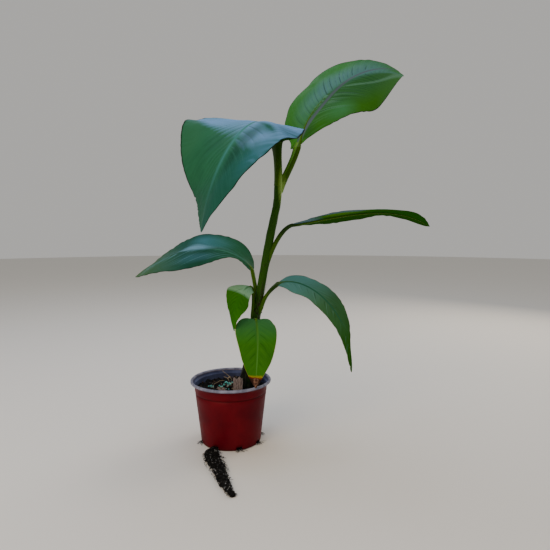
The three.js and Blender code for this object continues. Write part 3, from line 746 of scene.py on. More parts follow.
def soil_shape():
    """The body of soil: rings from the middle of its flat underside, up the wall and in over its top."""
    sides = 180
    angle = circle(sides)
    bottom = POT_FLOOR + SEAT_GAP
    shoulder = POT_GROOVE_HEIGHT - 6
    low_radius = POT_FOOT_RADIUS - POT_WALL - SEAT_GAP
    halfway = mix(low_radius, SOIL_RADIUS, 0.5), mix(bottom, shoulder, 0.5)
    side_rows = [(low_radius * 0.5, bottom), (low_radius, bottom), halfway,
                 (SOIL_RADIUS, shoulder), (SOIL_RADIUS, SOIL_TOP - 3)]
    rings = [around(radius, angle, height) for radius, height in side_rows]
    for radius in np.linspace(SOIL_RADIUS, 1.2, 60):
        x, y = radius * np.cos(angle), radius * np.sin(angle)
        rings.append(np.stack([x, y, soil_height(x, y)], -1))
    rings = np.array(rings)
    middle = [[0, 0, bottom], [0, 0, rings[-1, :, 2].mean()]]
    points = np.vstack([rings.reshape(-1, 3), middle])
    faces = [grid_faces(len(rings), sides, ring=True), fan_faces(len(points) - 2, 0, sides),
             fan_faces(len(points) - 1, (len(rings) - 1) * sides, sides)]
    return points, faces, {"tone": 0.2 + 0.12 * ripple(points, 8, 3)}


def spread_out(count, seed, lift=0.0):
    """Random places on the soil, evenly spread and none inside the stem."""
    rng = np.random.default_rng(seed)
    radius = np.sqrt(rng.uniform(0, 1, 3 * count)) * LITTER_RADIUS
    turn = rng.uniform(0, 2 * np.pi, 3 * count)
    x, y = radius * np.cos(turn), radius * np.sin(turn)
    free = np.hypot(x - STEM_FOOT, y) > STEM_ROOM
    x, y = x[free][:count], y[free][:count]
    return np.stack([x, y, soil_height(x, y) + lift], -1)


def crumb_shape():
    """Crumbs of soil: rough twenty-sided grains, most of them small."""
    shape, faces = nugget()
    rng = np.random.default_rng(21)
    sizes = rng.uniform(0.5, 1, (CRUMBS, 3)) * (0.7 + 2.1 * rng.uniform(0, 1, (CRUMBS, 1)) ** 3)
    points, faces = scattered(shape, faces, spread_out(CRUMBS, 22), sizes, 0.35, 23)
    return points, faces, {"tone": np.repeat(rng.uniform(0, 1, CRUMBS) ** 2.2, len(shape))}


def flake_shape():
    """Flat slivers of bark and leaf litter, each a six-sided bent plate."""
    rng = np.random.default_rng(31)
    turn = circle(6)
    ring = np.stack([np.cos(turn), 0.42 * np.sin(turn)], -1)
    bend = 0.1 * ring[:, 0] ** 2
    shape = np.vstack([np.c_[ring, 0.12 + bend], np.c_[ring, -0.05 + bend]])
    centres = spread_out(BARK_FLAKES, 32, lift=1.2)
    sizes = np.repeat(rng.uniform(2, 5.5, (BARK_FLAKES, 1)), 3, axis=1)
    lean = rng.normal(0, 0.35, (BARK_FLAKES, 2))
    heading = rng.uniform(0, 2 * np.pi, BARK_FLAKES)
    across = unit(np.stack([np.cos(heading), np.sin(heading), lean[:, 0]], -1))
    upward = np.stack([lean[:, 1], -lean[:, 0], np.ones(BARK_FLAKES)], -1)
    beside = unit(np.cross(unit(upward), across))
    turns = np.stack([across, beside, np.cross(across, beside)], -1)
    points, faces = copies(shape, tube_faces(2, 6), centres, turns, sizes, 0.18, rng)
    return points, faces, {"tone": np.repeat(rng.uniform(0, 1, BARK_FLAKES), len(shape))}


def bead_shape():
    """Slow-release feed beads: small balls in loose groups."""
    rng = np.random.default_rng(41)
    rows, sides = 6, 10
    tilt = np.linspace(0.12, np.pi - 0.12, rows)[:, None]
    ball = around(np.sin(tilt), circle(sides), np.cos(tilt)).reshape(-1, 3)
    groups = np.array(FEED_GROUPS)
    x, y = (groups[rng.integers(0, len(groups), FEED_BEADS)] + rng.normal(0, 3, (FEED_BEADS, 2))).T
    centres = np.stack([x, y, soil_height(x, y) + 1.4], -1)
    sizes = np.repeat(rng.uniform(1.1, 1.7, (FEED_BEADS, 1)), 3, axis=1)
    return *scattered(ball, tube_faces(rows, sides), centres, sizes, 0, 42), {}


def straw_shape():
    """Thin dry straws: arcs that rise a little above the line from foot to head, thinner at both ends."""
    share = np.linspace(0, 1, 20)[None, :, None]
    ends = np.array(STRAWS, float)
    paths = mix(ends[:, :1], ends[:, 1:], share) + [0, 0, 2.5] * np.sin(np.pi * share)
    paths = paths + [1.2, 0, 0] * np.sin(2 * np.pi * share)
    radii = (0.35 + 0.25 * np.sin(np.pi * share[..., 0])) * np.ones((len(ends), 1))
    return *strands(paths, radii, 8), {}


def chip_shape(at, width, thick, height, turn, lean, jagged, seed):
    """A flake of bark that stands up: two rough faces that meet at ragged edges."""
    rows, cols = 46, 30
    up, across = np.broadcast_arrays(np.linspace(0, 1, rows)[:, None], np.linspace(-1, 1, cols))
    torn = 1 - jagged * (0.5 + 0.5 * np.sin(across * 5.2 + seed)) - 0.05 * np.sin(across * 23 + seed)
    x = across * width / 2 * (1 + 0.06 * np.sin(up * 5 + seed) - 0.16 * up**2)
    z = up * height * torn
    flat = np.stack([x, z], -1)
    rough = 0.35 * ripple(flat * [3, 0.5], 7, seed) + 0.15 * ripple(flat * [4, 1], 3, seed + 1)
    half = thick / 2 * (1 - 0.9 * across**6) * (1 - 0.85 * up**8) + 0.15
    bowed = lean * up + 0.135 * thick * (1 - across**2)
    front = np.stack([x, bowed - half + rough, z], -1)
    back = np.stack([x, bowed + half + 0.5 * rough, z], -1)
    cos, sin = math.cos(math.radians(turn)), math.sin(math.radians(turn))
    spin = np.array([[cos, -sin, 0], [sin, cos, 0], [0, 0, 1]])
    points = np.concatenate([front, back[:, ::-1]], 1) @ spin.T + [*at, SOIL_TOP - 1.5]
    return points, [tube_faces(rows, 2 * cols)], {}


# Stem


def stem_centre(height):
    """Place of the stem's middle along the X axis at heights."""
    corners = np.array(STEM_POINTS, float)
    return smooth_curve(corners[:, 2], corners[:, 0], height)


def stem_radius(height):
    """Radius of the stem at heights: an even taper, and a foot that swells as an exponential."""
    above = height - SOIL_TOP
    taper = mix(STEM_LOW_RADIUS, STEM_TOP_RADIUS, above / (STEM_TOP - SOIL_TOP))
    return taper + STEM_FLARE * np.exp(-above / STEM_FLARE_FADE)


def stem_shape():
    """The bundle of sheaths: rings whose radius steps out below each sheath's slanting edge.

    A sheath's edge is highest on its own leaf's side and runs down round both flanks to a seam.
    """
    rows, sides = 420, 96
    height = np.linspace(SOIL_TOP - 1, STEM_TOP + 0.5, rows)[:, None]
    height, turn = np.broadcast_arrays(height, circle(sides))
    step = np.zeros_like(height)
    edge = np.zeros_like(height)
    for order, leaf in enumerate(LEAVES.values()):
        dx, dy = leaf["shift"]
        leaf_side = math.atan2(dy, dx) + 0.25 * math.sin(2.4 * order)
        top = min(leaf["stalk_from"] + 26, STEM_TOP - 4)
        away = turned_from(turn, leaf_side) / np.pi
        seam = 10 * np.clip(away - 0.9, 0, 1) * (0.6 + 0.1 * order)
        mouth = top - 46 * away**1.6 - 150 * seam + 1.5 * np.sin(9 * turn + order)
        step += ease(mouth - height, -0.8, 0.8)
        edge += bump(mouth, height, 2.2)
    step -= step.mean(1, keepdims=True)
    lumps = around(8, turn, height * 0.25)
    low_down = np.exp(-(height - SOIL_TOP) / 30)
    radius = stem_radius(height) - 0.3 + SHEATH_THICKNESS * step
    radius = radius + 0.25 * ripple(lumps, 9, 51) + 0.5 * ripple(lumps, 5, 52) * low_down
    points = around(radius, turn, height, stem_centre(height))
    detail = np.stack([np.clip(edge, 0, 1), 0 * edge, 0 * edge], -1)
    return points, [tube_faces(rows, sides)], {"stalk_detail": detail}


def dry_strip_shape():
    """Dry torn sheath edges: narrow strips that lie along the stem and curl off at their ends."""
    rng = np.random.default_rng(61)
    each = (DRY_STRIPS, 1)
    share = np.linspace(0, 1, 18)[None, :]
    start = rng.uniform(215, 275, each)
    length = rng.uniform(14, 46, each)
    turn = rng.uniform(0, 2 * np.pi, each) + rng.normal(0, 0.5, each) * share
    height = start + length * share * rng.choice([1, -0.6], each)
    gap = 0.4 + rng.uniform(0.5, 3.5, each) * share**3
    paths = around(stem_radius(height) + gap, turn, height, stem_centre(height))
    width = rng.uniform(0.35, 0.9, each) * (1 - 0.75 * share)
    return *strands(paths, width, 6), {}


# Leaves


def leaf_frame(leaf, share):
    """Directions along the midrib, to the right and out of the upper face, for an array of shares.

    Heading and pitch turn with a power of the share and roll turns evenly.
    """
    heading = np.radians(mix(*leaf["heading"], share ** leaf["sweep"]))
    pitch = np.radians(mix(*leaf["pitch"], share ** leaf["bend"]))
    roll = np.radians(mix(*leaf["roll"], share))[..., None]
    along = np.stack([np.cos(pitch) * np.cos(heading), np.cos(pitch) * np.sin(heading), np.sin(pitch)], -1)
    side = np.stack([np.sin(heading), -np.cos(heading), np.zeros_like(heading)], -1)
    out = np.cross(side, along)
    right = side * np.cos(roll) + out * np.sin(roll)
    return along, right, out * np.cos(roll) - side * np.sin(roll)


def midrib(leaf, share):
    """Points of the midrib: its directions summed in small steps, and straight on beyond its ends."""
    steps = (np.arange(MIDRIB_STEPS) + 0.5) / MIDRIB_STEPS
    along = leaf_frame(leaf, steps)[0] * (leaf["length"] / MIDRIB_STEPS)
    line = np.vstack([np.zeros(3), np.cumsum(along, 0)]) + np.array(leaf["base"], float)
    inside = np.clip(share, 0, 1)
    marks = np.arange(MIDRIB_STEPS + 1) / MIDRIB_STEPS
    point = np.stack([np.interp(inside, marks, line[:, axis]) for axis in range(3)], -1)
    along, right, out = leaf_frame(leaf, inside)
    return point + along * ((share - inside) * leaf["length"])[..., None], along, right, out


def rib_radius(leaf, share):
    """Radius of the midrib under the blade: from the stalk's down to a thread at the tip."""
    top = leaf["radii"][2]
    swift = 0.6 + 0.4 * np.exp(-share / 0.05)
    return 0.45 + (top - 0.45) * (1 - share) ** 1.1 * swift


def of_half(pair, reach):
    """One of a pair of values: the left half's where reach is below 0, or else the right half's."""
    return np.array(pair, float)[(reach >= 0).astype(int)]


def half_width(leaf, row, reach, nicks):
    """How far the margin is from the midrib, vein by vein.

    It swells and closes as a power of a sine. The trims and nicks move it in or out round a row.
    """
    swell = np.abs(np.sin(np.pi * row ** of_half(leaf["peak"], reach))) ** of_half(leaf["blunt"], reach)
    full = mix(BASE_HALF, TIP_HALF, row) + of_half(leaf["width"], reach) * swell
    trims = bump(row[..., None], np.array(TRIM_ROWS), TRIM_SPREAD) * of_half(leaf["trim"], reach)
    full = np.maximum(full + trims.sum(-1), TIP_HALF)
    for at, side, spread, cut in nicks:
        full = np.maximum(full - cut * bump(row, at, spread) * ((reach >= 0) == side), TIP_HALF)
    return full


def vein_lines(length, seed, grid, gap, lean, sheen, sway, drift):
    """What follows the veins: each point's place across them, pleats, sheen lines, and the groove's gap.

    A vein leans toward the tip, more so at the margin, and a thin crease follows about one vein
    in each gap; it dips the blade a little and carries the painted shade of the crease. Painted
    sheen lines are the crests of slow random waves drawn out along the veins.
    """
    row, reach, full, share = grid
    part = np.abs(reach)
    width = full * part
    lean = of_half(lean, reach)
    vein = share * length - width * (lean + VEIN_BEND * part)
    places = np.stack([share * length, reach * full], -1)
    count = vein / gap + 0.3 * np.sin(vein / gap * 0.9 + seed) + 0.12 * ripple(places, 140, seed)
    nearest = np.round(count)
    strength = 0.75 + 0.25 * np.sin(2.4 * nearest + seed + 2 * (reach >= 0))
    crease = strength * bump(count * gap, nearest * gap, CREASE_WIDTH)
    # The groove may sway to one side low down and drift to the other near the tip
    from_rib = np.sign(reach) * width - sway * bump(share, 0.3, 0.2) + drift * ease(share, 0.45, 0.95)
    rib_gap = np.abs(from_rib)
    fade = ease(rib_gap, 1.5, 6) * (1 - ease(part, 0.35, 0.95)) * np.sin(np.pi * row) ** 0.6
    pleat = (0.3 * np.cos(2 * np.pi * (count - 0.5)) - crease) * fade
    threads = ripple(np.stack([vein / np.hypot(1, lean), width * 0.05], -1), 5.5, seed + 3)
    sheen_streak = ease(threads, 0.2, 1.3) * bump(width, 0, of_half(sheen, reach)) * ease(rib_gap, 1.5, 5)
    if drift:
        # Where the groove drifts off, a painted sheen line of its own runs from there to the tip, as along a
        # fold ridge
        sheen_ridge = bump((reach - SHEEN_RIDGE_SLOPE * (row - SHEEN_RIDGE_START)) * full, 0, 2.6) * ease(row, 0.5, 0.62)
        sheen_streak = np.maximum(sheen_streak * (1 - ease(row, 0.6, 0.75)), sheen_ridge)
    return vein, pleat, sheen_streak, from_rib


def blade_rise(leaf, seed, grid, tilt, relief, folds):
    """How far each point stands out of the midrib's plane.

    The halves tilt from the midrib and ripple along their margins. Lifts and folds are smooth
    humps on one half, and slow and quick random waves keep the sheet uneven.
    """
    row, reach, full, share = grid
    part = np.abs(reach)
    width = full * part
    places = np.stack([share * leaf["length"], reach * full], -1)
    ends = np.sin(np.pi * row) ** 0.6
    wave = of_half(leaf["wave"], reach) * np.sin(2 * np.pi * (WAVES * row + of_half(leaf["phase"], reach)))
    rise = width * np.sin(tilt) + wave * part * part * np.sin(np.pi * row)
    for side, at, spread, height in leaf.get("lift", ()):
        rise = rise + height * part**2 * bump(row, at, spread) * ((reach >= 0) == side)
    for side, inner, outer, spread, height in folds:
        crest = bump(row, mix(inner, outer, part), spread)
        rise = rise + height * np.sin(2.6 * part) * crest * ((reach >= 0) == side)
    slow = ripple(places, 95, seed + 1) * ends * ease(width, 4, 30)
    quick = np.sin(row * leaf["length"] / 6.5 + 3 * ripple(places, 60, seed + 2)) * part**5 * ends
    return rise + relief + slow + 0.5 * quick


def blade_shape(leaf, seed, gap, depth, fade, lean=(0.7, 0.7), sheen=(34, 34), sway=0, drift=0,
                broad=0.4, nicks=(), folds=(), patches=()):
    """Both faces of a blade as one closed skin.

    Its veins run from the midrib to the margin: a row is one vein, and reach goes from the left
    margin, -1, over the midrib, 0, to the right one, 1. A vein leaves the midrib at a power of
    its row and ends nearer the tip. The skin is thickest at the midrib and thin at the margins.
    """
    row = np.linspace(0, 1, BLADE_ROWS)[:, None]
    spread = np.linspace(-1, 1, 2 * BLADE_COLS + 1)
    row, reach = np.broadcast_arrays(row, np.sign(spread) * np.abs(spread) ** 1.25)
    part = np.abs(reach)
    length = leaf["length"]
    full = half_width(leaf, row, reach, nicks)
    width = full * part
    lobe = of_half(leaf["lobe"], reach) / length * np.sin(np.pi * np.minimum(row / LOBE_SHARE, 1))
    margin = 0.5 - 0.5 * np.cos(np.pi * row) - lobe
    share = mix(SEAT_GAP / length, 1, mix(row**VEIN_SPREAD, margin, part))
    grid = row, reach, full, share
    vein, pleat, sheen_streak, from_rib = vein_lines(length, seed, grid, gap, lean, sheen, sway, drift)
    tilt = np.radians(of_half(leaf["fold"], reach) + of_half(leaf["curl"], reach) * part / 2)
    rise = blade_rise(leaf, seed, grid, tilt, depth * pleat, folds)
    rise = rise - 0.5 * bump(from_rib, 0, 1.9) * (1 - share)
    point, along, right, out = midrib(leaf, share)
    point = point + right * (np.sign(reach) * width * np.cos(tilt))[..., None] + out * rise[..., None]
    across = np.gradient(point, axis=1)
    normal = unit(np.cross(across, along))
    thick = mix(RIB_THICKNESS, RIM_THICKNESS, part) * (0.35 + 0.65 * ease(np.minimum(row, 1 - row), 0, 0.03))
    shift = normal * (thick / 2)[..., None]
    rings = np.concatenate([point + shift, (point - shift)[:, ::-1]], 1)
    # What the material reads
    rib_near = bump(from_rib, 0, rib_radius(leaf, np.clip(share, 0, 1)) + broad)
    rib_near = rib_near * (1 - ease(share, fade - 0.25, fade))
    rib_glow = bump(from_rib, 0, 7)
    true_up = unit(np.cross(across, np.gradient(point, axis=0)))[..., 2]
    blank = np.zeros(row.shape)
    areas = [blank, blank, blank]
    for which, at, across_at, row_spread, reach_spread in patches:
        areas[which] = areas[which] + bump(row, at, row_spread) * bump(reach, across_at, reach_spread)

    def both(*pairs):
        """One value per point from pairs of numbers, for the upper and for the under face."""
        return np.stack([
            np.concatenate([blank + above, (blank + below)[:, ::-1]], 1) for above, below in pairs
        ], -1)

    return rings, [tube_faces(BLADE_ROWS, rings.shape[1])], {
        "leaf_place": both((part, part), (share, share), (1, 0)),
        "vein_lines": both((width, width), (vein, vein), (0, 9)) * MILLIMETRE,
        "leaf_detail": both((rib_near, 0), (pleat, -pleat), (true_up, 0)),
        "leaf_zone": both((reach, reach), (rib_glow, rib_glow), (sheen_streak, sheen_streak)),
        "leaf_patch": both(*zip(areas, areas)),
    }


def stalk_shape(leaf):
    """A stalk and the midrib that it goes on into: one tube with a channel along its upper side.

    The stalk is a cubic Bezier from inside the stem, up along it, and out to the blade's base.
    """
    foot_z = leaf["stalk_from"]
    dx, dy = leaf["shift"]
    height = np.array([foot_z - 1.0, foot_z, foot_z + 1.0]).clip(SOIL_TOP, STEM_TOP)
    centre = stem_centre(height)
    stem_way = unit(np.array([centre[2] - centre[0], 0, height[2] - height[0]]))
    start = np.array([centre[1] + dx, dy, foot_z])
    base = np.array(leaf["base"], float)
    base_along, _, base_out = (way[0] for way in leaf_frame(leaf, np.array([0.0])))
    handles = [start, start + stem_way * leaf["sheath"], base - base_along * leaf["neck"], base]
    t = np.linspace(0, 1, 90)[:, None]
    weights = [(1 - t) ** 3, 3 * t * (1 - t) ** 2, 3 * t**2 * (1 - t), t**3]
    line = sum(weight * handle for weight, handle in zip(weights, handles))
    along = unit(np.gradient(line, axis=0))
    inward = np.array([-dx, -dy, 0.0]) + 0.001 * base_out
    out = mix(unit(inward), base_out, ease(t, 0.1, 0.9))
    out = unit(out - along * (out * along).sum(-1, keepdims=True))
    foot, waist, top = leaf["radii"]
    t = t[:, 0]
    widening = np.clip((t - STALK_WAIST) / (1 - STALK_WAIST), 0, 1) ** 2
    stalk_radius = np.where(t < STALK_WAIST, mix(foot, waist, t / STALK_WAIST), mix(waist, top, widening))
    # A foot beside the stem is slim, so that it rises out of the stem with no step
    slim = 0.45 if foot_z < STEM_TOP else 1
    stalk_radius = stalk_radius * mix(slim, 1, ease(t, 0, 0.16))
    share = np.linspace(0, 0.985, 150)[1:]
    rib_line, rib_along, _, rib_out = midrib(leaf, share)
    thin = rib_radius(leaf, share)
    sink = 0.45 * ease(share, 0, 0.05) * thin + 0.35 + 0.3 * ease(share, 0, 0.1)
    line = np.vstack([line, rib_line - rib_out * sink[:, None]])[:, None]
    out = np.vstack([out, rib_out])
    right = np.cross(np.vstack([along, rib_along]), out)[:, None]
    radius = np.concatenate([stalk_radius, thin])[:, None]
    from_base = np.concatenate([(t - 1) * 3 * leaf["neck"], share * leaf["length"]])
    spread = leaf.get("flare", 0) * np.exp(-np.abs(from_base) / np.where(from_base < 0, 15, 10))[:, None]
    sides = 28
    turn = circle(sides)
    gap = turned_from(turn, np.pi / 2)
    depth = np.concatenate([0.5 * ease(t, 0.1, 0.55), np.full(len(share), 0.55)])[:, None]
    radius = radius * (1 - depth * bump(gap, 0, 0.62)) * (1 + 0.02 * np.sin(9 * turn))
    points = (
        line + right * ((radius + spread) * np.cos(turn))[..., None]
        + out[:, None] * (radius * np.sin(turn))[..., None]
    )
    channel = bump(gap, 0, 0.55) * ease(depth, 0.1, 0.5)
    lips = 0.35 * bump(gap, 0.95, 0.12) * ease(depth, 0.1, 0.5)
    # The leaf's shade sets how much painted shadow the neck gets under its blade
    neck = leaf.get("shade", 0) * bump(from_base, -8, 22)[:, None]
    detail = np.stack(np.broadcast_arrays(lips, channel, neck), -1)
    return points, [tube_faces(len(line), sides)], {"stalk_detail": detail}


# Roots


def root_line(share):
    """Points of the bundle's middle line at shares of its length, and its level ways across there."""
    corners = np.array(ROOT_PATH, float)
    reach = np.concatenate([[0], np.cumsum(np.linalg.norm(np.diff(corners, axis=0), axis=1))])
    stops = np.linspace(0, 1, 200)
    ways = unit(np.gradient(smooth_curve(reach, corners, stops * reach[-1]), axis=0))
    along = np.stack([np.interp(share, stops, ways[:, axis]) for axis in range(3)], -1)
    across = np.cross([0, 0, 1], unit(along * [1, 1, 0]))
    return smooth_curve(reach, corners, share * reach[-1]), across


def root_half(share):
    """Half width of the bundle: it spreads from the drain hole and tapers to its tip."""
    spread = 1 - bump(share, 0, ROOT_SPREAD)
    return mix(ROOT_MOUTH_WIDTH, mix(ROOT_WIDTH, ROOT_TIP_WIDTH, share**1.6), spread) / 2


def root_core_shape():
    """The matted core: an oval tube along the bundle, its skin rough with soil and broken fibres."""
    rows, sides = 260, 64
    share = np.linspace(0, 1, rows)
    line, across = root_line(share)
    turn = circle(sides)
    half = root_half(share)[:, None] * 0.66
    high = (ROOT_FLATTENING * line[:, 2] * 0.7)[:, None]
    points = line[:, None] + across[:, None] * (half * np.cos(turn))[..., None]
    points = points + np.array([0, 0, 1]) * (high * np.sin(turn))[..., None]
    lump = 2.0 * ripple(points, 9, 71) + 1.2 * ripple(points, 3.6, 72)
    push = unit(points - line[:, None]) * lump[..., None]
    points = points + push * np.minimum(1, half / 5)[..., None]
    points[..., 2] = np.maximum(points[..., 2], 0.05 + 0.04 * np.sin(turn))
    return points, [tube_faces(rows, sides)], {"tone": 0.12 + 0.1 * ripple(points, 5, 73)}


def root_fibre_shape():
    """Fine roots that wander along the bundle and stray from it a little at their ends."""
    rng = np.random.default_rng(81)
    each = (ROOT_FIBRES, 1)
    stops, sides = 34, 6
    start = rng.uniform(-0.02, 0.8, each)
    length = rng.uniform(0.1, 0.34, each)
    steps = np.linspace(0, 1, stops)[None, :]
    share = np.clip(start + length * steps, 0, 1)
    line, across = (grid.reshape(ROOT_FIBRES, stops, 3) for grid in root_line(share.ravel()))
    lane = rng.uniform(-0.92, 0.92, each)
    lane = lane + 0.32 * np.sin(steps * rng.uniform(8, 26, each) + rng.uniform(0, 6, each))
    lane = lane + rng.normal(0, 0.12, each) * steps**3
    stray = 1.1 * rng.uniform(-1, 1, each) ** 3 * steps**1.5
    lane = (np.clip(lane, -1, 1) + stray) * ease(share, -0.0421, 0.0737)
    roof = ROOT_FLATTENING * line[..., 2] * 0.92 * np.sqrt(np.clip(1 - lane**2, 0.02, 1))
    level = rng.uniform(0.25, 1.1, each) - 0.5 * steps**2
    level = level + 0.3 * np.sin(steps * rng.uniform(8, 30, each) + rng.uniform(0, 6, each))
    height = np.maximum(line[..., 2] + roof * level, 0.5)
    paths = line + across * (lane * root_half(share))[..., None]
    paths[..., 2] = height + 0.3 * np.sin(steps * 30 + rng.uniform(0, 6, each))
    paths[..., 2] = np.maximum(paths[..., 2], 0.55)
    radius = (rng.uniform(0.2, 0.5, each) + 0.4 * np.abs(stray[:, -1:])) * (1 - 0.6 * steps)
    points, faces = strands(paths, radius, sides)
    return points, faces, {"tone": np.repeat(rng.uniform(0, 0.9, ROOT_FIBRES) ** 2.2, stops * sides)}


def root_tuft_shape():
    """Short black roots that come out of the other drain holes, bend down and lie on the floor."""
    rng = np.random.default_rng(95)
    stops, sides = 12, 6
    steps = np.linspace(0, 1, stops)[None, :]
    holes = np.repeat(TUFT_HOLES, TUFT_FIBRES)[:, None]
    each = holes.shape
    angle = np.radians(FIRST_DRAIN_ANGLE + holes * 360 / DRAIN_HOLES + rng.normal(0, 2.2, each))
    angle = angle + rng.normal(0, 0.08, each) * steps**2
    radius = TUFT_START + rng.uniform(7, 17, each) * steps
    height = rng.uniform(2, 5.5, each) * (1 - steps**1.5) + 0.6 + 0.5 * np.sin(9 * steps + holes)**2
    width = rng.uniform(0.25, 0.6, each) * (1 - 0.6 * steps)
    points, faces = strands(around(radius, angle, height), width, sides)
    return points, faces, {"tone": np.repeat(rng.uniform(0, 0.4, len(holes)), stops * sides)}


def root_grit_shape():
    """Soil and pale grit caught between the roots."""
    shape, faces = nugget()
    rng = np.random.default_rng(91)
    share = np.sort(rng.uniform(0.02, 0.97, ROOT_GRIT))
    line, across = root_line(share)
    lane = rng.uniform(-0.9, 0.9, ROOT_GRIT)
    centres = line + across * (lane * root_half(share))[:, None]
    roof = ROOT_FLATTENING * line[:, 2] * 0.9 * np.sqrt(1 - lane**2)
    centres[:, 2] = np.maximum(centres[:, 2] + roof * rng.uniform(0.7, 1.1, ROOT_GRIT), 1.3)
    pale = rng.uniform(0, 1, (ROOT_GRIT, 1)) ** 3
    sizes = rng.uniform(0.5, 1, (ROOT_GRIT, 3)) * (0.5 + 0.7 * pale)
    points, faces = scattered(shape, faces, centres, sizes, 0.3, 92)
    return points, faces, {"tone": np.repeat(0.1 + 1.1 * pale[:, 0], len(shape))}


# Finishes of the leaves

# A wash is a colour, what it follows, the values where it starts and is full, and its cover there:
# reach goes from -1 at the left margin to 1 at the right one, share from the base to the tip,
# up is 1 where the blade lies level, rib is 1 at the midrib and fades within some 10 mm of it,
# sheen_streak is 1 on the painted sheen lines that follow the veins near the midrib, and first,
# second and third are the leaf's patches. Washes lie on the upper face and marks on the under face.
# Washes that follow up paint a sky reflection, and a crease colour is painted shade in the creases
LEAF_LOOKS = {
    "front": dict(
        body="#225c04", light="#2e6c06", under="#2c6a04", vein="#5a9020", crease="#1c5000",
        rib="#44782c", rim="#8f9a3c", dry=0.875, shine=0.05,
        washes=[("#3c7c4c", "share", 0.42, 0.05, 0.8), ("#2c6400", "share", 0.4, 1.0, 0.8)],
    ),
    "low_left": dict(
        body="#225c00", light="#2c6c00", under="#3c8004", vein="#4a8010", crease="#184c00",
        rib="#4c7c54", rim="#6d7a1c", shine=0.0,
        washes=[("#7ca888", "first", 0.46, 0.53, 0.9)],
    ),
    "mid_left": dict(
        body="#1a4028", light="#204c34", under="#1c4c10", vein="#2f7060", crease="#020e08",
        rib="#3c7460", rim="#101f0c", shine=0.03,
        # The up wash and the first, second and third washes paint sky reflection and sheen on the upper
        # face, and the sheen_streak wash paints sheen lines
        washes=[("#184844", "up", 0.3, 0.9, 0.7), ("#386470", "first", 0.3, 0.9, 0.6),
                ("#6c9cb2", "second", 0.25, 0.9, 0.8), ("#3c7480", "third", 0.2, 0.8, 0.75),
                ("#486236", "share", 0.58, 0.95, 0.7), ("#7cb0c2", "sheen_streak", 0.3, 1.0, 0.5),
                ("#2c6442", "share", 0.42, 0.16, 0.85)],
    ),
    "low_right": dict(
        body="#385c3c", light="#446e4a", under="#1c4c10", vein="#447a60", crease="#2a4e34",
        rib="#285c44", rim="#3c4c14", shine=0.0,
        washes=[("#245208", "share", 0.4, 0.8, 1.0), ("#508480", "share", 0.45, 0.2, 0.9),
                # Painted sheen lines along the veins near the midrib
                ("#6a9a96", "sheen_streak", 0.5, 1.1, 0.5)],
    ),
    "mid_right": dict(
        body="#104400", light="#185402", under="#185000", vein="#2c6a10", crease="#041002",
        rib="#2c5a20", rim="#34401c", shine=0.0,
        # The reach wash paints a blue sky reflection on the upper face
        washes=[("#2a5466", "reach", 0.1, -0.4, 0.9)],
        marks=[("#1e4604", "reach", 0.1, -0.8, 0.8), ("#4c7c18", "first", 0.3, 0.9, 0.9),
               # The third and second marks paint a blue sky reflection on the under face
               ("#587486", "third", 0.4, 0.75, 0.9), ("#628090", "second", 0.3, 0.8, 0.9)],
    ),
    "top_right": dict(
        body="#22601c", light="#2a6c24", under="#1c5c08", vein="#4f9040", crease="#163c24",
        rib="#4c5c62", rim="#1c1408", shine=0.06,
        # The first reach wash paints a blue-grey sky reflection on the left half near the midrib, and the
        # sheen_streak wash paints sheen lines
        washes=[("#467074", "reach", -0.68, -0.3, 0.85), ("#2a5c2c", "reach", -0.1, 0.1, 0.9),
                ("#346c10", "reach", 0.35, 0.8, 0.9), ("#44744c", "share", 0.75, 1.0, 0.7),
                ("#3c7c50", "first", 0.2, 0.9, 0.8), ("#6c9c8c", "sheen_streak", 0.3, 1.1, 0.5),
                ("#2c681c", "share", 0.42, 0.15, 0.8), ("#1c4c1c", "second", 0.3, 0.9, 0.7),
                ("#4c7478", "third", 0.3, 0.9, 0.45),
                ("#388400", "share", 0.08, 0.02, 0.9)],
    ),
    "top_left": dict(
        body="#1e5238", light="#266042", under="#1c4c10", vein="#3a7464", crease="#1a443a",
        rib="#347068", rim="#0e2416", shine=0.02,
        # The up wash paints a blue sky reflection where the blade faces up, and the third wash paints a
        # sheen
        washes=[("#164c44", "reach", 0.05, -0.5, 0.85), ("#74a0d4", "up", 0.72, 1.0, 0.95),
                ("#3c7a78", "rib", 0.3, 1.1, 0.5), ("#08301c", "first", 0.2, 0.9, 0.5),
                ("#2a6042", "second", 0.2, 0.6, 0.9), ("#2c6474", "third", 0.2, 1.0, 0.5),
                ("#1c4c3c", "share", 0.7, 0.86, 0.6)],
    ),
}
VEINS = {
    # gap between creases and their depth, lean of each half's veins where they leave the midrib,
    # reach of the painted sheen lines on each half, sway and drift of the midrib's groove, the share
    # where its pale line has faded, and how far that line spreads beyond the midrib
    "front": dict(gap=13, depth=0.08, fade=1.0, broad=0.9),
    "low_left": dict(gap=12, depth=0.15, fade=0.36),
    "mid_left": dict(gap=11, depth=0.5, lean=(1.7, 1.7), sheen=(50, 50), fade=0.5),
    "low_right": dict(gap=12, depth=0.14, lean=(1.0, 1.0), fade=0.8),
    "mid_right": dict(gap=12, depth=0.3, lean=(1.2, 1.2), fade=0.6),
    "top_right": dict(gap=10.5, depth=0.35, lean=(0.35, 1.7), sheen=(1, 50), sway=8.6, drift=13,
                      fade=1.1, broad=0.5),
    "top_left": dict(gap=19, depth=0.3, lean=(0.7, 0.9), fade=0.82),
}
NICKS = {  # row, half, width in rows, depth; a depth below nothing stands out
    "top_left": [(0.70, 1, 0.004, 5), (0.735, 1, 0.006, 4), (0.775, 1, 0.004, 4),
                 (0.19, 1, 0.02, -3), (0.25, 1, 0.025, 5), (0.33, 1, 0.02, 3)],
    "top_right": [(0, 0, 0.03, 5), (0.19, 0, 0.04, 10), (0.14, 0, 0.05, 14), (0.35, 0, 0.04, -4),
                  (0.44, 0, 0.025, 5)],
    "low_right": [(0.86, 1, 0.01, 3)],
    "mid_left": [(0.57, 1, 0.03, -5)],
}
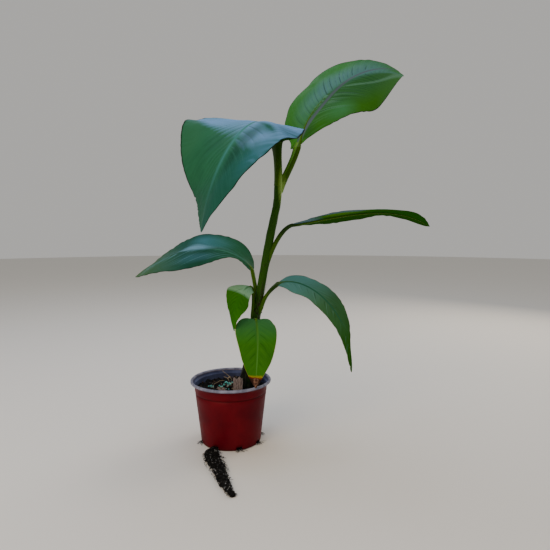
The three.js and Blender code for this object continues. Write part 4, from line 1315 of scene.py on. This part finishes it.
PATCHES = {  # which patch, its row and reach, and how far it spreads along both
    "low_left": [(0, 0.05, -2.5, 0.45, 6)],
    # mid_left's patches mark where sky reflection and sheen are painted
    "mid_left": [(0, 0.48, -0.55, 0.16, 0.28), (1, 0.52, 0.18, 0.13, 0.28), (2, 0.4, 0.6, 0.13, 0.35)],
    "top_right": [(0, 0.42, 0.7, 0.12, 0.35), (1, 0.18, 0.6, 0.1, 0.6), (2, 0.74, -0.55, 0.13, 0.5)],
    # mid_right's second and third patches mark where a blue sky reflection is painted
    "mid_right": [(0, 0.4, 0.5, 0.2, 0.45), (1, 0.12, 0.5, 0.15, 1.2), (2, 0.3, 1.1, 0.2, 0.4),
                  (2, 0.48, 1.0, 0.12, 0.75)],
    # top_left's third patch marks where a sheen is painted
    "top_left": [(0, 0.52, -0.25, 0.09, 0.14), (0, 0.66, -0.32, 0.1, 0.16), (1, 0.12, 0.85, 0.14, 0.4),
                 (1, 0.46, 0.95, 0.1, 0.3), (2, 0.6, -0.85, 0.12, 0.25)],
}
FOLDS = {  # half, row at the midrib and at the margin, width in rows, height
    "top_left": [(0, 0.36, 0.53, 0.035, 5), (0, 0.27, 0.42, 0.035, -4)],
}


# Pieces

piece("pot_wall", pot_shape(), pot_plastic(), ["pot"])

mix_stops = [(0.0, "#040506"), (0.4, "#0c0e12"), (0.68, "#222124"), (0.87, "#4a423c"), (0.99, "#968e86")]
potting_mix = crumbly("damp_potting_mix", mix_stops, 0.88, 0.0008, 2.38)
piece("soil_body", soil_shape(), potting_mix, ["soil"])
piece("soil_crumbs", crumb_shape(), potting_mix, smooth=False)
litter_stops = [(0.0, "#120d0a"), (0.45, "#2b2018"), (0.8, "#4a3a2e"), (1.0, "#8a7a66")]
litter = crumbly("dry_bark_litter", litter_stops, 0.85, 0.0006, 2)
piece("bark_litter", flake_shape(), litter, smooth=False)
piece("feed_beads", bead_shape(), bead_resin())
straw = bark("dry_straw", "#66563f", "#93836c", "#3a2c20")
piece("dry_straws", straw_shape(), straw)
chip_bark = bark("weathered_pine_bark", "#4c4040", "#a09090", "#1a120c")
for name, (node, measures) in CHIPS.items():
    piece(name, chip_shape(**measures), chip_bark, [node])

root_stops = [(0.0, "#040404"), (0.45, "#121110"), (0.75, "#2e2a27"), (0.97, "#a6a6a8")]
root_skin = crumbly("wet_root_mat", root_stops, 0.8, 0.0006, 1.67)
piece("root_mat", root_core_shape(), root_skin, ["trailing_roots"])
piece("root_fibres", root_fibre_shape(), root_skin)
piece("root_tufts", root_tuft_shape(), root_skin)
piece("root_grit", root_grit_shape(), root_skin, smooth=False)

sheath_skin = stalk_tissue("leaf_sheath_tissue", "#030302", "#244c02", "#4a8010", 0.2, 0.12, 0.3)
piece("sheath_bundle", stem_shape(), sheath_skin, ["stem"])
dry_sheath = bark("dry_sheath_fibre", "#1c120a", "#44301e", "#1a120c")
piece("dry_sheath_strips", dry_strip_shape(), dry_sheath)

stalk_skin = stalk_tissue("leaf_stalk_tissue", "#1c3c04", "#385a02", "#6aa024", 0.2, 0.1, 0.1)
for order, (name, leaf) in enumerate(LEAVES.items()):
    skin = leaf_tissue(f"leaf_cuticle_{name}", **LEAF_LOOKS[name])
    ends = ("_inner", "_outer") if name in SPLIT_LEAVES else ("",)
    blade = blade_shape(leaf, 100 + 10 * order, nicks=NICKS.get(name, ()), folds=FOLDS.get(name, ()),
                        patches=PATCHES.get(name, ()), **VEINS[name])
    piece(f"leaf_blade_{name}", blade, skin, [f"blade_{name}{end}" for end in ends])
    piece(f"leaf_stalk_{name}", stalk_shape(leaf), stalk_skin, [f"stalk_{name}"])


# Stage


def floor():
    """A round flat floor, with its rings closer together near the middle."""
    rings, sides = 12, 96
    radius = np.linspace(0.02, 1, rings)[:, None] ** 2 * FLOOR_RADIUS
    points = around(radius, circle(sides), 0).reshape(-1, 3)
    mesh = bpy.data.meshes.new("studio_floor")
    mesh.from_pydata(points, [], grid_faces(rings, sides, ring=True).tolist() + [list(range(sides))])
    obj = bpy.data.objects.new("studio_floor", mesh)
    bpy.context.scene.collection.objects.link(obj)
    # Matt paint, which gives the eye an even pale ground with no gloss
    matt_paint = material("matt_floor_paint")[0]
    mesh.materials.append(surfaced(matt_paint, {"Base Color": "#dcd9d3", "Roughness": 0.9}))


def soft_light(name, place, aim, size, power, tint):
    """A square softbox at place that faces aim."""
    lamp = bpy.data.lights.new(name, "AREA")
    lamp.size = size
    lamp.energy = power
    lamp.color = colour(tint)[:3]
    obj = bpy.data.objects.new(name, lamp)
    bpy.context.scene.collection.objects.link(obj)
    way = np.array(aim, float) - np.array(place, float)
    obj.location = place
    obj.rotation_euler = (math.atan2(math.hypot(way[0], way[1]), -way[2]), 0, math.atan2(-way[0], way[1]))


def studio():
    """The floor, an even pale sky and the softboxes."""
    floor()
    world = bpy.data.worlds.new("studio_air")
    world.use_nodes = True
    air = world.node_tree.nodes["Background"]
    air.inputs["Color"].default_value = colour("#e6e4e0")
    air.inputs["Strength"].default_value = SKY_STRENGTH
    bpy.context.scene.world = world
    for name, settings in SOFTBOXES.items():
        soft_light(name, *settings)


def camera():
    """A camera where the photograph was taken from, a little tipped down."""
    lens = bpy.data.cameras.new("photo_camera")
    lens.sensor_width = SENSOR_WIDTH
    lens.lens = FOCAL_LENGTH
    lens.clip_start = 0.02
    lens.clip_end = 50
    obj = bpy.data.objects.new("photo_camera", lens)
    obj.location = CAMERA_PLACE
    obj.rotation_euler = (math.radians(90 - CAMERA_DIP), 0, 0)
    bpy.context.scene.collection.objects.link(obj)
    bpy.context.scene.camera = obj


studio()
camera()
